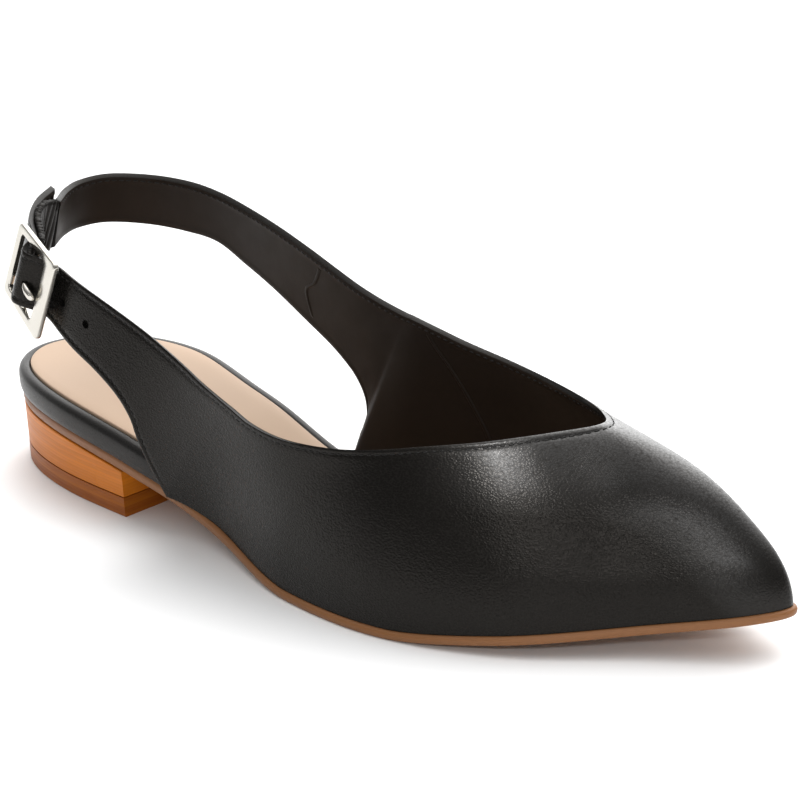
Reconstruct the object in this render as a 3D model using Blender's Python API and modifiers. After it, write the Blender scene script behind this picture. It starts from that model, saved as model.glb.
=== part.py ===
"""Sling back flat for the right foot: a pointed leather shoe with an open waist and a buckled heel strap.

Metres, +Z up. +X runs toward the toe, +Y is the inner (medial) side of the foot. The origin is on the
floor under the middle of the heel; inside the functions x counts from the back of the heel. The upper is
one hollow band: vamp, two quarters and the two ends of the heel strap.
"""
import math

import bmesh
import bpy
import numpy as np
from mathutils import Matrix, Vector

MM = 0.001

# Last and sole
SHOE_LENGTH = 266 * MM
BALL_WIDTH = 76 * MM
WAIST_WIDTH = 49.5 * MM
HEEL_WIDTH = 55.2 * MM
HEEL_HEIGHT = 19.4 * MM
TOE_SPRING = 10.5 * MM
TOE_SWING = 23.7 * MM
OUTSOLE_FORE = 2.4 * MM
OUTSOLE_HEEL = 3.5 * MM
OUTSOLE_ROUNDING = 0.7 * MM

# Heel
HEEL_DEPTH = 70 * MM
HEEL_INSET = 0.3 * MM
TOP_PIECE_THICKNESS = 5.8 * MM
TOP_PIECE_FLARE = 0.8 * MM

# Footbed: a wrapped board whose rim shows behind the quarters, with a sock laid in it
RIM_HEIGHT = 7.1 * MM
RIM_PROUD = 0.7 * MM
BOARD_FORE = 2.6 * MM
SOCK_INSET = 3.8 * MM
SOCK_INSET_FORE = 1.2 * MM
TOE_CLEARANCE = 1.6 * MM
SOCK_THICKNESS = 1.1 * MM
SOCK_SUNK = 0.9 * MM

# Upper
UPPER_WALL = 1.6 * MM
SOLE_MARGIN = 1.0 * MM
THROAT_HEIGHT = 51 * MM
BACK_HEIGHT = 82.8 * MM
STRAP_WIDTH = 16 * MM
LATERAL_WING = 93 * MM
MEDIAL_WING = 111 * MM
WING_FLARE_LENGTH = 20 * MM
STRAP_BULGE = 5.4 * MM
STRAP_TUCK = 0.9 * MM
HOLE_DIAMETER = 2.4 * MM
HOLE_PITCH = 10.5 * MM

# Buckle
BUCKLE_LENGTH = 24 * MM
BUCKLE_HEIGHT = 23.2 * MM
BUCKLE_THICKNESS = 1.5 * MM
FRONT_BAR = 5.2 * MM
OTHER_BARS = 2.2 * MM
BUCKLE_CORNER = 1.2 * MM
BUCKLE_DROP = 1.0 * MM
BUCKLE_TAPER = 0.05
PIN_DIAMETER = 1.6 * MM
PRONG_DIAMETER = 1.8 * MM
LOOP_WIDTH = 13 * MM
LOOP_LAYER = 0.8 * MM

GAP = 0.3 * MM

# How finely the curved forms are divided
SOLE_STATIONS = 40
BAND_STEPS = 4
WALL_ROWS = 8

HALF_BALL = BALL_WIDTH / 2
FLARE = SOLE_MARGIN + RIM_PROUD + UPPER_WALL + GAP

# Sole outline: place along the length, half widths to the outer and inner side, as shares
SOLE_OUTLINE = (
    # length, outer side, inner side
    (0.045, 0.320 * HEEL_WIDTH, 0.391 * HEEL_WIDTH),
    (0.150, 0.467 * HEEL_WIDTH, 0.533 * HEEL_WIDTH),
    (0.282, 0.553 * WAIST_WIDTH, 0.495 * WAIST_WIDTH),
    (0.414, 0.556 * WAIST_WIDTH, 0.444 * WAIST_WIDTH),
    (0.545, 0.472 * BALL_WIDTH, 0.377 * BALL_WIDTH),
    (0.677, 0.512 * BALL_WIDTH, 0.478 * BALL_WIDTH),
    (0.789, 0.433 * BALL_WIDTH, 0.420 * BALL_WIDTH),
    (0.902, 0.221 * BALL_WIDTH, 0.232 * BALL_WIDTH),
    (0.970, 0.114 * BALL_WIDTH, 0.112 * BALL_WIDTH),
)

# Underside of the outsole: the flat tread under the ball lies between the two rows at or below zero
SOLE_PROFILE = (
    # length, height
    (0.000, 1.000 * HEEL_HEIGHT),
    (0.195, 0.850 * HEEL_HEIGHT),
    (0.320, 0.598 * HEEL_HEIGHT),
    (0.432, 0.225 * HEEL_HEIGHT),
    (0.545, 0.000 * HEEL_HEIGHT),
    (0.692, 0.000 * TOE_SPRING),
    (0.780, 0.230 * TOE_SPRING),
    (0.880, 0.530 * TOE_SPRING),
    (1.000, 1.000 * TOE_SPRING),
)

# Heel strap: upper edge of the outer face, and how the strap leans from its lower to its upper edge
LATERAL_STRAP = (
    # edge x, edge y, edge z, width, lean x, lean y, lean z
    (0.086, -0.200, 1.034, 0.97, 0.18, 0.16, 0.97),
    (0.108, -0.462, 1.023, 0.97, 0.22, 0.16, 0.96),
    (0.139, -0.690, 0.998, 0.97, 0.27, 0.15, 0.95),
    (0.172, -0.826, 0.965, 0.97, 0.30, 0.14, 0.94),
    (0.202, -0.903, 0.936, 1.00, 0.32, 0.14, 0.94),
    (0.233, -0.929, 0.901, 1.00, 0.32, 0.14, 0.94),
)
MEDIAL_STRAP = (
    (0.188, 0.895, 0.943, 1.08, 0.27, -0.12, 0.95),
    (0.147, 0.829, 0.970, 1.08, 0.24, -0.10, 0.96),
    (0.105, 0.684, 0.989, 1.04, 0.22, -0.05, 0.97),
    (0.072, 0.434, 1.004, 1.00, 0.20, 0.00, 0.98),
    (0.061, 0.197, 1.000, 0.97, 0.19, 0.03, 0.98),
    (0.073, -0.013, 0.997, 0.95, 0.19, 0.08, 0.98),
    (0.102, -0.245, 1.000, 0.97, 0.20, 0.13, 0.97),
)

# Quarters: the upper edge, and the lower edge that runs down the open waist to the sole
LATERAL_QUARTER = (
    # upper x, upper y, upper z, lower x, lower y, lower z
    (0.274, -0.916, 0.858, 0.254, -0.995, 0.649),
    (0.316, -0.879, 0.804, 0.288, -0.982, 0.591),
    (0.353, -0.845, 0.752, 0.316, -0.963, 0.523),
    (0.387, -0.832, 0.702, 0.330, -0.937, 0.450),
    (0.410, -0.832, 0.668, 0.333, -0.903, 0.370),
    (0.432, -0.839, 0.637, 0.339, -0.850, 0.275),
)
MEDIAL_QUARTER = (
    (0.485, 0.829, 0.695, 0.424, 0.724, 0.205),
    (0.466, 0.824, 0.708, 0.430, 0.761, 0.266),
    (0.445, 0.818, 0.725, 0.426, 0.797, 0.338),
    (0.417, 0.816, 0.751, 0.405, 0.840, 0.408),
    (0.380, 0.829, 0.788, 0.366, 0.889, 0.477),
    (0.338, 0.855, 0.827, 0.317, 0.932, 0.541),
    (0.286, 0.882, 0.872, 0.259, 0.971, 0.619),
    (0.235, 0.903, 0.909, 0.210, 0.987, 0.680),
)

# Vamp, from the outer wing round the toe to the inner wing: where the wall stands on the sole, the
# topline above it, and the wall's section: how far it rises straight up, and how it comes over
VAMP = (
    # side, foot x, upper x, upper y, upper z, rise, reach, drop
    (-1, None, 0.455, -0.850, 0.994, 0.33, 0.33, 0.33),
    (-1, 0.375, 0.478, -0.862, 0.958, 0.33, 0.33, 0.33),
    (-1, 0.421, 0.511, -0.871, 0.903, 0.34, 0.34, 0.33),
    (-1, 0.481, 0.553, -0.850, 0.872, 0.36, 0.36, 0.32),
    (-1, 0.553, 0.602, -0.776, 0.875, 0.39, 0.42, 0.30),
    (-1, 0.628, 0.650, -0.658, 0.900, 0.42, 0.47, 0.28),
    (-1, 0.703, 0.695, -0.492, 0.937, 0.43, 0.50, 0.27),
    (-1, 0.774, 0.737, -0.289, 0.965, 0.42, 0.50, 0.27),
    (-1, 0.838, 0.769, -0.066, 0.986, 0.39, 0.48, 0.28),
    (-1, 0.898, 0.789, 0.132, 0.994, 0.35, 0.47, 0.29),
    (-1, 0.951, 0.801, 0.263, 0.998, 0.36, 0.49, 0.25),
    (1, 1.000, 0.806, 0.355, 1.000, 0.40, 0.56, 0.20),
    (1, 0.951, 0.799, 0.474, 0.984, 0.50, 0.62, 0.15),
    (1, 0.898, 0.778, 0.618, 0.957, 0.53, 0.62, 0.13),
    (1, 0.838, 0.752, 0.745, 0.939, 0.53, 0.56, 0.16),
    (1, 0.774, 0.714, 0.863, 0.929, 0.51, 0.50, 0.21),
    (1, 0.714, 0.665, 0.955, 0.933, 0.46, 0.44, 0.26),
    (1, 0.647, 0.613, 0.974, 0.965, 0.40, 0.38, 0.31),
    (1, 0.579, 0.564, 0.911, 1.024, 0.36, 0.35, 0.33),
    (1, 0.515, 0.530, 0.863, 1.075, 0.34, 0.33, 0.33),
    (1, 0.462, 0.508, 0.842, 1.104, 0.33, 0.33, 0.33),
    (1, None, 0.495, 0.833, 1.120, 0.33, 0.33, 0.33),
)

BUCKLE_ROW = 3.85
HOLE_COUNT = 3


def clear_scene():
    for old in list(bpy.data.objects):
        bpy.data.objects.remove(old, do_unlink=True)


def collection(name):
    made = bpy.data.collections.new(name)
    bpy.context.scene.collection.children.link(made)
    return made


def material(name, colour, roughness, metallic=0.0):
    made = bpy.data.materials.new(name)
    made.use_nodes = True
    shader = made.node_tree.nodes["Principled BSDF"]
    shader.inputs["Base Color"].default_value = (*colour, 1.0)
    shader.inputs["Roughness"].default_value = roughness
    shader.inputs["Metallic"].default_value = metallic
    return made


def smooth(places, values, at):
    """Value at a place on a smooth curve through the values of a table."""
    places = np.asarray(places, float)
    values = np.asarray(values, float)
    slopes = np.gradient(values, places, axis=0)
    k = int(np.clip(np.searchsorted(places, at, side="right") - 1, 0, len(places) - 2))
    span = places[k + 1] - places[k]
    t = (at - places[k]) / span
    return (
        (2 * t**3 - 3 * t**2 + 1) * values[k]
        + (t**3 - 2 * t**2 + t) * span * slopes[k]
        + (3 * t**2 - 2 * t**3) * values[k + 1]
        + (t**3 - t**2) * span * slopes[k + 1]
    )


def blend(low, high, at):
    """0 below low, 1 above high, smooth between."""
    t = min(1.0, max(0.0, (at - low) / (high - low)))
    return t * t * (3 - 2 * t)


# Sole outline, as an angle that runs 0 at the heel, pi at the toe, by the outer side, and on round
def turn_at(share, side):
    angle = math.acos(max(-1.0, min(1.0, 1 - 2 * share)))
    return angle if side < 0 else 2 * math.pi - angle


def centre_line(x):
    """The forepart swings to the inner side in front of the waist."""
    waist = 0.451 * SHOE_LENGTH
    return TOE_SWING * max(0.0, (x - waist) / (SHOE_LENGTH - waist)) ** 2


def sole_edge(turn):
    angle = turn if turn <= math.pi else 2 * math.pi - turn
    column = 1 if turn <= math.pi else 2
    places = [0.0] + [turn_at(row[0], -1) for row in SOLE_OUTLINE] + [math.pi]
    widths = [0.0] + [row[column] for row in SOLE_OUTLINE] + [0.0]
    half = max(0.0, float(smooth(places, widths, angle)))
    x = SHOE_LENGTH * (1 - math.cos(angle)) / 2
    return np.array([x, centre_line(x) + (-half if column == 1 else half)])


def outline(turn, outward=0.0):
    """Point of the sole's outline, moved outward along its normal."""
    step = 0.01
    ahead = sole_edge((turn + step) % (2 * math.pi))
    behind = sole_edge((turn - step) % (2 * math.pi))
    along = (ahead - behind) / np.linalg.norm(ahead - behind)
    return sole_edge(turn) + outward * np.array([along[1], -along[0]])


def underside(x):
    share = min(1.0, max(0.0, x / SHOE_LENGTH))
    rows = np.array(SOLE_PROFILE)
    first, last = rows[4, 0], rows[5, 0]
    if first <= share <= last:
        return 0.0
    return max(0.0, float(smooth(rows[:, 0], rows[:, 1], share)))


def sole_top(x):
    share = blend(0.30 * SHOE_LENGTH, 0.56 * SHOE_LENGTH, x)
    return underside(x) + OUTSOLE_HEEL + (OUTSOLE_FORE - OUTSOLE_HEEL) * share


def foot_offset(turn):
    """How far the foot of the upper stands outside the sole's outline: it flares round the footbed's rim."""
    x = sole_edge(turn)[0]
    wing = LATERAL_WING if turn < math.pi else MEDIAL_WING
    flare = max(0.0, 1 - max(0.0, x - wing) / WING_FLARE_LENGTH) ** 2
    return FLARE * flare - SOLE_MARGIN


def board_offset(turn):
    x = sole_edge(turn)[0]
    clear = GAP + TOE_CLEARANCE * blend(0.85 * SHOE_LENGTH, SHOE_LENGTH, x)
    return min(RIM_PROUD, foot_offset(turn) - UPPER_WALL - clear)


def sock_inset(turn):
    """The rim shows behind the quarters; inside them the sock runs out to the wall."""
    fore = blend(0.42 * SHOE_LENGTH, 0.52 * SHOE_LENGTH, sole_edge(turn)[0])
    return SOCK_INSET + (SOCK_INSET_FORE - SOCK_INSET) * fore


def turns(count):
    """Even angles round the outline, starting at the back of the heel."""
    return [2 * math.pi * k / (2 * count) for k in range(2 * count)]


def new_object(name, bm, home, finish, smooth_angle=35):
    mesh = bpy.data.meshes.new(name)
    bmesh.ops.recalc_face_normals(bm, faces=bm.faces)
    if bm.calc_volume(signed=True) < 0 and name != "upper":
        bmesh.ops.reverse_faces(bm, faces=bm.faces)
    bm.to_mesh(mesh)
    bm.free()
    mesh.shade_smooth()
    mesh.set_sharp_from_angle(angle=math.radians(smooth_angle))
    made = bpy.data.objects.new(name, mesh)
    made.data.materials.append(finish)
    home.objects.link(made)
    return made


def loft(name, rings, home, finish):
    """Closed body through rings of equal count; each end is closed across, outer side to inner side."""
    bm = bmesh.new()
    count = len(rings[0])
    loops = [[bm.verts.new(point) for point in ring] for ring in rings]
    for low, high in zip(loops[:-1], loops[1:]):
        for k in range(count):
            after = (k + 1) % count
            bm.faces.new((low[k], low[after], high[after], high[k]))
    for ring in (loops[0], loops[-1]):
        for k in range(count // 2):
            corners = (ring[k], ring[k + 1], ring[(count - k - 1) % count], ring[(count - k) % count])
            kept = list(dict.fromkeys(corners))
            if len(kept) > 2:
                bm.faces.new(kept)
    return new_object(name, bm, home, finish)


def outsole(home, finish):
    rings = []
    for inset, level in ((OUTSOLE_ROUNDING, 0.0), (0.0, 0.3), (0.0, 0.7), (OUTSOLE_ROUNDING, 1.0)):
        ring = []
        for turn in turns(SOLE_STATIONS):
            x, y = outline(turn, -inset)
            low = underside(x)
            ring.append((x, y, low + level * (sole_top(x) - low)))
        rings.append(ring)
    return loft("outsole", rings, home, finish)


def rim_top(x):
    fore = blend(LATERAL_WING - WING_FLARE_LENGTH / 2, 0.6 * SHOE_LENGTH, x)
    return sole_top(x) + GAP + RIM_HEIGHT + (BOARD_FORE - RIM_HEIGHT) * fore


def footbed(home, finish):
    rings = []
    sections = (
        # share of the way in to the sock, height share, sunk
        (0.20, 0.0, 0.0),
        (0.00, 0.25, 0.0),
        (0.00, 0.65, 0.0),
        (0.17, 0.90, 0.0),
        (0.42, 1.0, 0.0),
        (0.93, 1.0, 0.0),
        (0.97, 1.0, SOCK_SUNK),
    )
    for inward, level, sunk in sections:
        ring = []
        for turn in turns(SOLE_STATIONS):
            x, y = outline(turn, board_offset(turn) - inward * sock_inset(turn))
            low = sole_top(x) + GAP
            ring.append((x, y, low + level * (rim_top(x) - low) - sunk))
        rings.append(ring)
    return loft("footbed", rings, home, finish)


def sock(home, finish):
    rings = []
    for inset, level in ((0.0, 0.0), (0.0, 0.6), (SOCK_THICKNESS / 2, 1.0)):
        ring = []
        for turn in turns(SOLE_STATIONS):
            x, y = outline(turn, board_offset(turn) - sock_inset(turn) - GAP / 2 - inset)
            ring.append((x, y, rim_top(x) - SOCK_SUNK + GAP + level * SOCK_THICKNESS))
        rings.append(ring)
    return loft("insole", rings, home, finish)


def heel_ring(inset, height):
    """D-shaped outline of the heel: round at the back, straight across at the breast."""
    breast = turn_at(HEEL_DEPTH / SHOE_LENGTH, -1)
    count = SOLE_STATIONS // 2
    angles = [breast * k / count for k in range(count + 1)]
    angles += [2 * math.pi - a for a in reversed(angles[1:])]
    ring = []
    for turn in angles:
        x, y = outline(turn, -inset)
        x = min(x, HEEL_DEPTH)
        ring.append((x, y, height(x)))
    return ring


def heel_body(name, home, finish, inset, low, high):
    rings = [heel_ring(inset, low), heel_ring(inset, high)]
    bm = bmesh.new()
    loops = [[bm.verts.new(point) for point in ring] for ring in rings]
    count = len(loops[0])
    for k in range(count):
        after = (k + 1) % count
        bm.faces.new((loops[0][k], loops[0][after], loops[1][after], loops[1][k]))
    for ring in loops:
        for k in range(count // 2):
            kept = list(dict.fromkeys((ring[k], ring[k + 1], ring[count - k - 1], ring[(count - k) % count])))
            if len(kept) > 2:
                bm.faces.new(kept)
    return new_object(name, bm, home, finish)


def unit(vector):
    return vector / np.linalg.norm(vector)


def band_table():
    """Every row of the band, from the free end of the outer strap round the toe to the inner strap's end."""
    rows = []
    for x, y, z, width, lean_x, lean_y, lean_z in LATERAL_STRAP:
        top = np.array([x * SHOE_LENGTH, y * HALF_BALL, z * BACK_HEIGHT])
        low = top - width * STRAP_WIDTH * unit(np.array([lean_x, lean_y, lean_z]))
        rows.append((top, low, (0.33, 0.33, 0.33), None))
    for x, y, z, low_x, low_y, low_z in LATERAL_QUARTER:
        top = np.array([x * SHOE_LENGTH, y * HALF_BALL, z * BACK_HEIGHT])
        low = np.array([low_x * SHOE_LENGTH, low_y * HALF_BALL, low_z * BACK_HEIGHT])
        rows.append((top, low, (0.33, 0.33, 0.33), None))
    for side, foot_x, x, y, z, rise, reach, drop in VAMP:
        wing = LATERAL_WING if side < 0 else MEDIAL_WING
        share = wing / SHOE_LENGTH if foot_x is None else foot_x
        top = np.array([x * SHOE_LENGTH, y * HALF_BALL, z * THROAT_HEIGHT])
        rows.append((top, None, (rise, reach, drop), turn_at(share, side)))
    for x, y, z, low_x, low_y, low_z in MEDIAL_QUARTER:
        top = np.array([x * SHOE_LENGTH, y * HALF_BALL, z * BACK_HEIGHT])
        low = np.array([low_x * SHOE_LENGTH, low_y * HALF_BALL, low_z * BACK_HEIGHT])
        rows.append((top, low, (0.33, 0.33, 0.33), None))
    for x, y, z, width, lean_x, lean_y, lean_z in MEDIAL_STRAP:
        top = np.array([x * SHOE_LENGTH, y * HALF_BALL, z * BACK_HEIGHT])
        low = top - width * STRAP_WIDTH * unit(np.array([lean_x, lean_y, lean_z]))
        rows.append((top, low, (0.33, 0.33, 0.33), None))
    return rows


ROWS = band_table()
FIRST_FOOT = len(LATERAL_STRAP) + len(LATERAL_QUARTER)
LAST_FOOT = FIRST_FOOT + len(VAMP) - 1
LAST_ROW = len(ROWS) - 1


def foot_point(turn):
    x, y = outline(turn, foot_offset(turn))
    return np.array([x, y, sole_top(x) + GAP])


def lower_edge(row):
    """Lower edge of the band: the foot line on the sole, else the edge of wing and strap."""
    if FIRST_FOOT <= row <= LAST_FOOT:
        places = range(FIRST_FOOT, LAST_FOOT + 1)
        return foot_point(float(smooth(places, [ROWS[k][3] for k in places], row)))
    if row < FIRST_FOOT:
        places = range(0, FIRST_FOOT + 1)
        points = [ROWS[k][1] for k in places[:-1]] + [foot_point(ROWS[FIRST_FOOT][3])]
    else:
        places = range(LAST_FOOT, LAST_ROW + 1)
        points = [foot_point(ROWS[LAST_FOOT][3])] + [ROWS[k][1] for k in places[1:]]
    return smooth(places, points, row)


def band_point(row, share):
    """Point of the band's outer face: share 0 on the lower edge, 1 on the topline."""
    places = range(len(ROWS))
    top = smooth(places, [r[0] for r in ROWS], row)
    rise, reach, drop = smooth(places, [r[2] for r in ROWS], row)
    low = lower_edge(row)
    standing = blend(FIRST_FOOT, FIRST_FOOT + 4, row) * (1 - blend(LAST_FOOT - 4, LAST_FOOT, row))
    upright = low + rise * np.array([0, 0, top[2] - low[2]])
    slanted = low + rise * (top - low)
    first = slanted + (upright - slanted) * standing
    second = np.array([
        top[0] + (low[0] - top[0]) * reach,
        top[1] + (low[1] - top[1]) * reach,
        top[2] - (top[2] - low[2]) * drop,
    ])
    t = share
    return low * (1 - t) ** 3 + 3 * first * t * (1 - t) ** 2 + 3 * second * t**2 * (1 - t) + top * t**3


def band_frame(row):
    """Middle of the strap at a row, with the directions toward the toe, up across it and out of it."""
    middle = band_point(row, 0.5)
    ahead = unit(band_point(row + 0.1, 0.5) - band_point(row - 0.1, 0.5))
    across = band_point(row, 1.0) - band_point(row, 0.0)
    across = unit(across - ahead * np.dot(across, ahead))
    return middle, ahead, across, np.cross(ahead, across)


def row_at(distance, start=BUCKLE_ROW):
    """Row that lies a distance along the outer strap from the buckle's middle, toward the toe."""
    step = 0.02 if distance > 0 else -0.02
    row = start
    gone = 0.0
    here = band_point(row, 0.5)
    while gone < abs(distance) and 0 < row + step < FIRST_FOOT:
        row += step
        there = band_point(row, 0.5)
        gone += np.linalg.norm(there - here)
        here = there
    return row


def strap_lift(row):
    """How far the outer strap stands off its path at the buckle: over the pin, and tucked under the bars."""
    middle, ahead, across, out = band_frame(BUCKLE_ROW)
    along = float(np.dot(band_point(row, 0.5) - middle, ahead))
    over = math.exp(-((along / ((0.19 if along > 0 else 0.25) * BUCKLE_LENGTH)) ** 2))
    tuck = math.exp(-((along / (0.62 * BUCKLE_LENGTH)) ** 4))
    return over * (STRAP_BULGE + STRAP_TUCK) - tuck * STRAP_TUCK


def band_grid():
    """Rows and shares of the band's columns: closer together at the buckle, where the strap rides over it."""
    rows = []
    for k in range(LAST_ROW):
        steps = BAND_STEPS * 2 if 2 <= k <= 5 else BAND_STEPS
        if k >= LAST_FOOT + 2:
            steps = BAND_STEPS - 1
        rows += [k + s / steps for s in range(steps)]
    return rows + [LAST_ROW]


def upper(home, finish):
    bm = bmesh.new()
    columns = []
    for row in band_grid():
        column = []
        out = band_frame(min(max(row, 0.2), LAST_ROW - 0.2))[3] if row < len(LATERAL_STRAP) + 1 else None
        for k in range(WALL_ROWS + 1):
            point = band_point(row, k / WALL_ROWS)
            if out is not None:
                point = point + out * strap_lift(row)
            column.append(bm.verts.new(point))
        columns.append(column)
    for left, right in zip(columns[:-1], columns[1:]):
        for k in range(WALL_ROWS):
            bm.faces.new((left[k], right[k], right[k + 1], left[k + 1]))
    made = new_object("upper", bm, home, finish)
    wall = made.modifiers.new("wall", "SOLIDIFY")
    wall.thickness = UPPER_WALL
    wall.offset = -1
    wall.use_even_offset = True
    return made


def placed(middle, ahead, across, out):
    """Matrix that lays a piece drawn in x (toward the toe), y (up the strap), z (outward) on the strap."""
    matrix = Matrix.Identity(4)
    for column, axis in enumerate((ahead, across, out, middle)):
        for line in range(3):
            matrix[line][column] = float(axis[line])
    return matrix


def buckle_place():
    middle, ahead, across, out = band_frame(BUCKLE_ROW)
    level = BUCKLE_THICKNESS / 2 + GAP
    return placed(middle + out * level - across * BUCKLE_DROP, ahead, across, out)


def rounded_rectangle(left, right, half_height, radius, z):
    points = []
    corners = ((right, half_height), (left, half_height), (left, -half_height), (right, -half_height))
    for (x, y), start in zip(corners, (0, 90, 180, 270)):
        centre_x = x - math.copysign(radius, x)
        centre_y = y - math.copysign(radius, y)
        for step in range(5):
            angle = math.radians(start + 22.5 * step)
            points.append((centre_x + radius * math.cos(angle), centre_y + radius * math.sin(angle), z))
    return points


def buckle_frame(home, finish):
    """Frame: a wide bar toward the toe and three narrow ones, a little taller at the toe."""
    bm = bmesh.new()
    half_length = BUCKLE_LENGTH / 2
    half_height = BUCKLE_HEIGHT / 2
    low, high = -BUCKLE_THICKNESS / 2, BUCKLE_THICKNESS / 2
    rings = []
    for z in (low, high):
        outside = rounded_rectangle(-half_length, half_length, half_height, BUCKLE_CORNER, z)
        inside = rounded_rectangle(
            OTHER_BARS - half_length, half_length - FRONT_BAR, half_height - OTHER_BARS, BUCKLE_CORNER / 2, z
        )
        rings.append(([bm.verts.new(p) for p in outside], [bm.verts.new(p) for p in inside]))
    for vert in bm.verts:
        vert.co.y *= 1 + BUCKLE_TAPER * vert.co.x / half_length
    (low_out, low_in), (high_out, high_in) = rings
    count = len(low_out)
    for k in range(count):
        after = (k + 1) % count
        bm.faces.new((low_out[k], low_in[k], low_in[after], low_out[after]))
        bm.faces.new((high_out[k], high_out[after], high_in[after], high_in[k]))
        bm.faces.new((low_out[k], low_out[after], high_out[after], high_out[k]))
        bm.faces.new((low_in[k], high_in[k], high_in[after], low_in[after]))
    made = new_object("buckle_frame", bm, home, finish)
    made.matrix_world = buckle_place()
    edge = made.modifiers.new("edges", "BEVEL")
    edge.width = BUCKLE_THICKNESS / 5
    edge.segments = 1
    edge.limit_method = "ANGLE"
    edge.angle_limit = math.radians(60)
    return made


def buckle_pin(home, finish):
    """Bar across the middle of the frame, that the loop and the prong turn on."""
    bm = bmesh.new()
    length = BUCKLE_HEIGHT - 2 * OTHER_BARS - 2 * GAP
    bmesh.ops.create_cone(
        bm, cap_ends=True, segments=16, radius1=PIN_DIAMETER / 2, radius2=PIN_DIAMETER / 2, depth=length
    )
    bmesh.ops.rotate(bm, verts=bm.verts, matrix=Matrix.Rotation(math.radians(90), 3, "X"))
    made = new_object("buckle_pin", bm, home, finish)
    made.matrix_world = buckle_place()
    return made


def apply_boolean(target, cutter, operation, guides):
    """Adds a Boolean and keeps its cutter as a guide."""
    cut = target.modifiers.new(operation.lower(), "BOOLEAN")
    cut.operation = operation
    cut.object = cutter
    cut.solver = "EXACT"
    for home in list(cutter.users_collection):
        home.objects.unlink(cutter)
    guides.objects.link(cutter)
    cutter.hide_render = True
    cutter.display_type = "WIRE"


def rod(name, points, radius, home, finish):
    """Round rod along points, with filled ends, as a mesh."""
    curve = bpy.data.curves.new(name, "CURVE")
    curve.dimensions = "3D"
    curve.bevel_depth = radius
    curve.bevel_resolution = 2
    curve.use_fill_caps = True
    line = curve.splines.new("POLY")
    line.points.add(len(points) - 1)
    for spot, point in zip(line.points, points):
        spot.co = (*point, 1)
    drawn = bpy.data.objects.new(name + "_line", curve)
    home.objects.link(drawn)
    bpy.context.view_layer.update()
    mesh = bpy.data.meshes.new_from_object(drawn.evaluated_get(bpy.context.evaluated_depsgraph_get()))
    bpy.data.objects.remove(drawn)
    bm = bmesh.new()
    bm.from_mesh(mesh)
    bpy.data.meshes.remove(mesh)
    bmesh.ops.remove_doubles(bm, verts=bm.verts, dist=0.00001)
    return new_object(name, bm, home, finish)


def tube(name, outer, inner, length, home, finish):
    """Short sleeve round the pin, its axis up the strap."""
    bm = bmesh.new()
    rings = []
    turns = [math.radians(22.5 * k) for k in range(16)]
    for radius, y in ((outer, -length / 2), (outer, length / 2), (inner, length / 2), (inner, -length / 2)):
        rings.append([bm.verts.new((radius * math.cos(turn), y, radius * math.sin(turn))) for turn in turns])
    for ring, after_ring in zip(rings, rings[1:] + rings[:1]):
        for k in range(16):
            after = (k + 1) % 16
            bm.faces.new((ring[k], ring[after], after_ring[after], after_ring[k]))
    return new_object(name, bm, home, finish)


def buckle_prong(home, guides, finish):
    """Prong: an eye on the pin and a rod that comes up through the strap and lies on the front bar."""
    eye_inner = PIN_DIAMETER / 2 + GAP
    eye_outer = eye_inner + PRONG_DIAMETER / 2
    front = BUCKLE_LENGTH / 2 - FRONT_BAR
    lift = STRAP_BULGE + STRAP_TUCK
    rest = BUCKLE_THICKNESS / 2 + GAP + PRONG_DIAMETER / 2
    middle = (eye_inner + eye_outer) / 2 + 0.25 * PRONG_DIAMETER
    points = (
        (0.0, 0.0, middle),
        (0.11 * front, 0.0, 0.55 * lift),
        (0.20 * front, 0.0, 0.84 * lift),
        (0.38 * front, 0.0, 0.95 * lift),
        (0.62 * front, 0.0, 0.80 * lift),
        (0.86 * front, 0.0, 0.48 * lift),
        (front + 0.1 * FRONT_BAR, 0.0, rest),
        (front + 0.6 * FRONT_BAR, 0.0, rest),
    )
    prong = tube("buckle_prong", eye_outer, eye_inner, PRONG_DIAMETER, home, finish)
    arm = rod("prong_arm", points, PRONG_DIAMETER / 2, home, finish)
    apply_boolean(prong, arm, "UNION", guides)
    prong.matrix_world = buckle_place()
    arm.matrix_world = buckle_place()
    return prong


def loop_path():
    """Middle line of the folded loop, from the pin, under the free end, to the inner strap's end."""
    points = []
    over, behind = row_at(-0.20 * BUCKLE_LENGTH), row_at(-0.38 * BUCKLE_LENGTH)
    for row, spare in ((over, 5), (behind, 3), (1.7, 2), (1.0, 2)):
        middle, ahead, across, out = band_frame(row)
        points.append(middle + out * (strap_lift(row) - UPPER_WALL - spare * GAP - LOOP_LAYER))
    middle, ahead, across, out = band_frame(LAST_ROW - 0.1)
    points.append(band_point(LAST_ROW, 0.5) + ahead * 4 * GAP - out * UPPER_WALL / 2)
    return points, across


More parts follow.
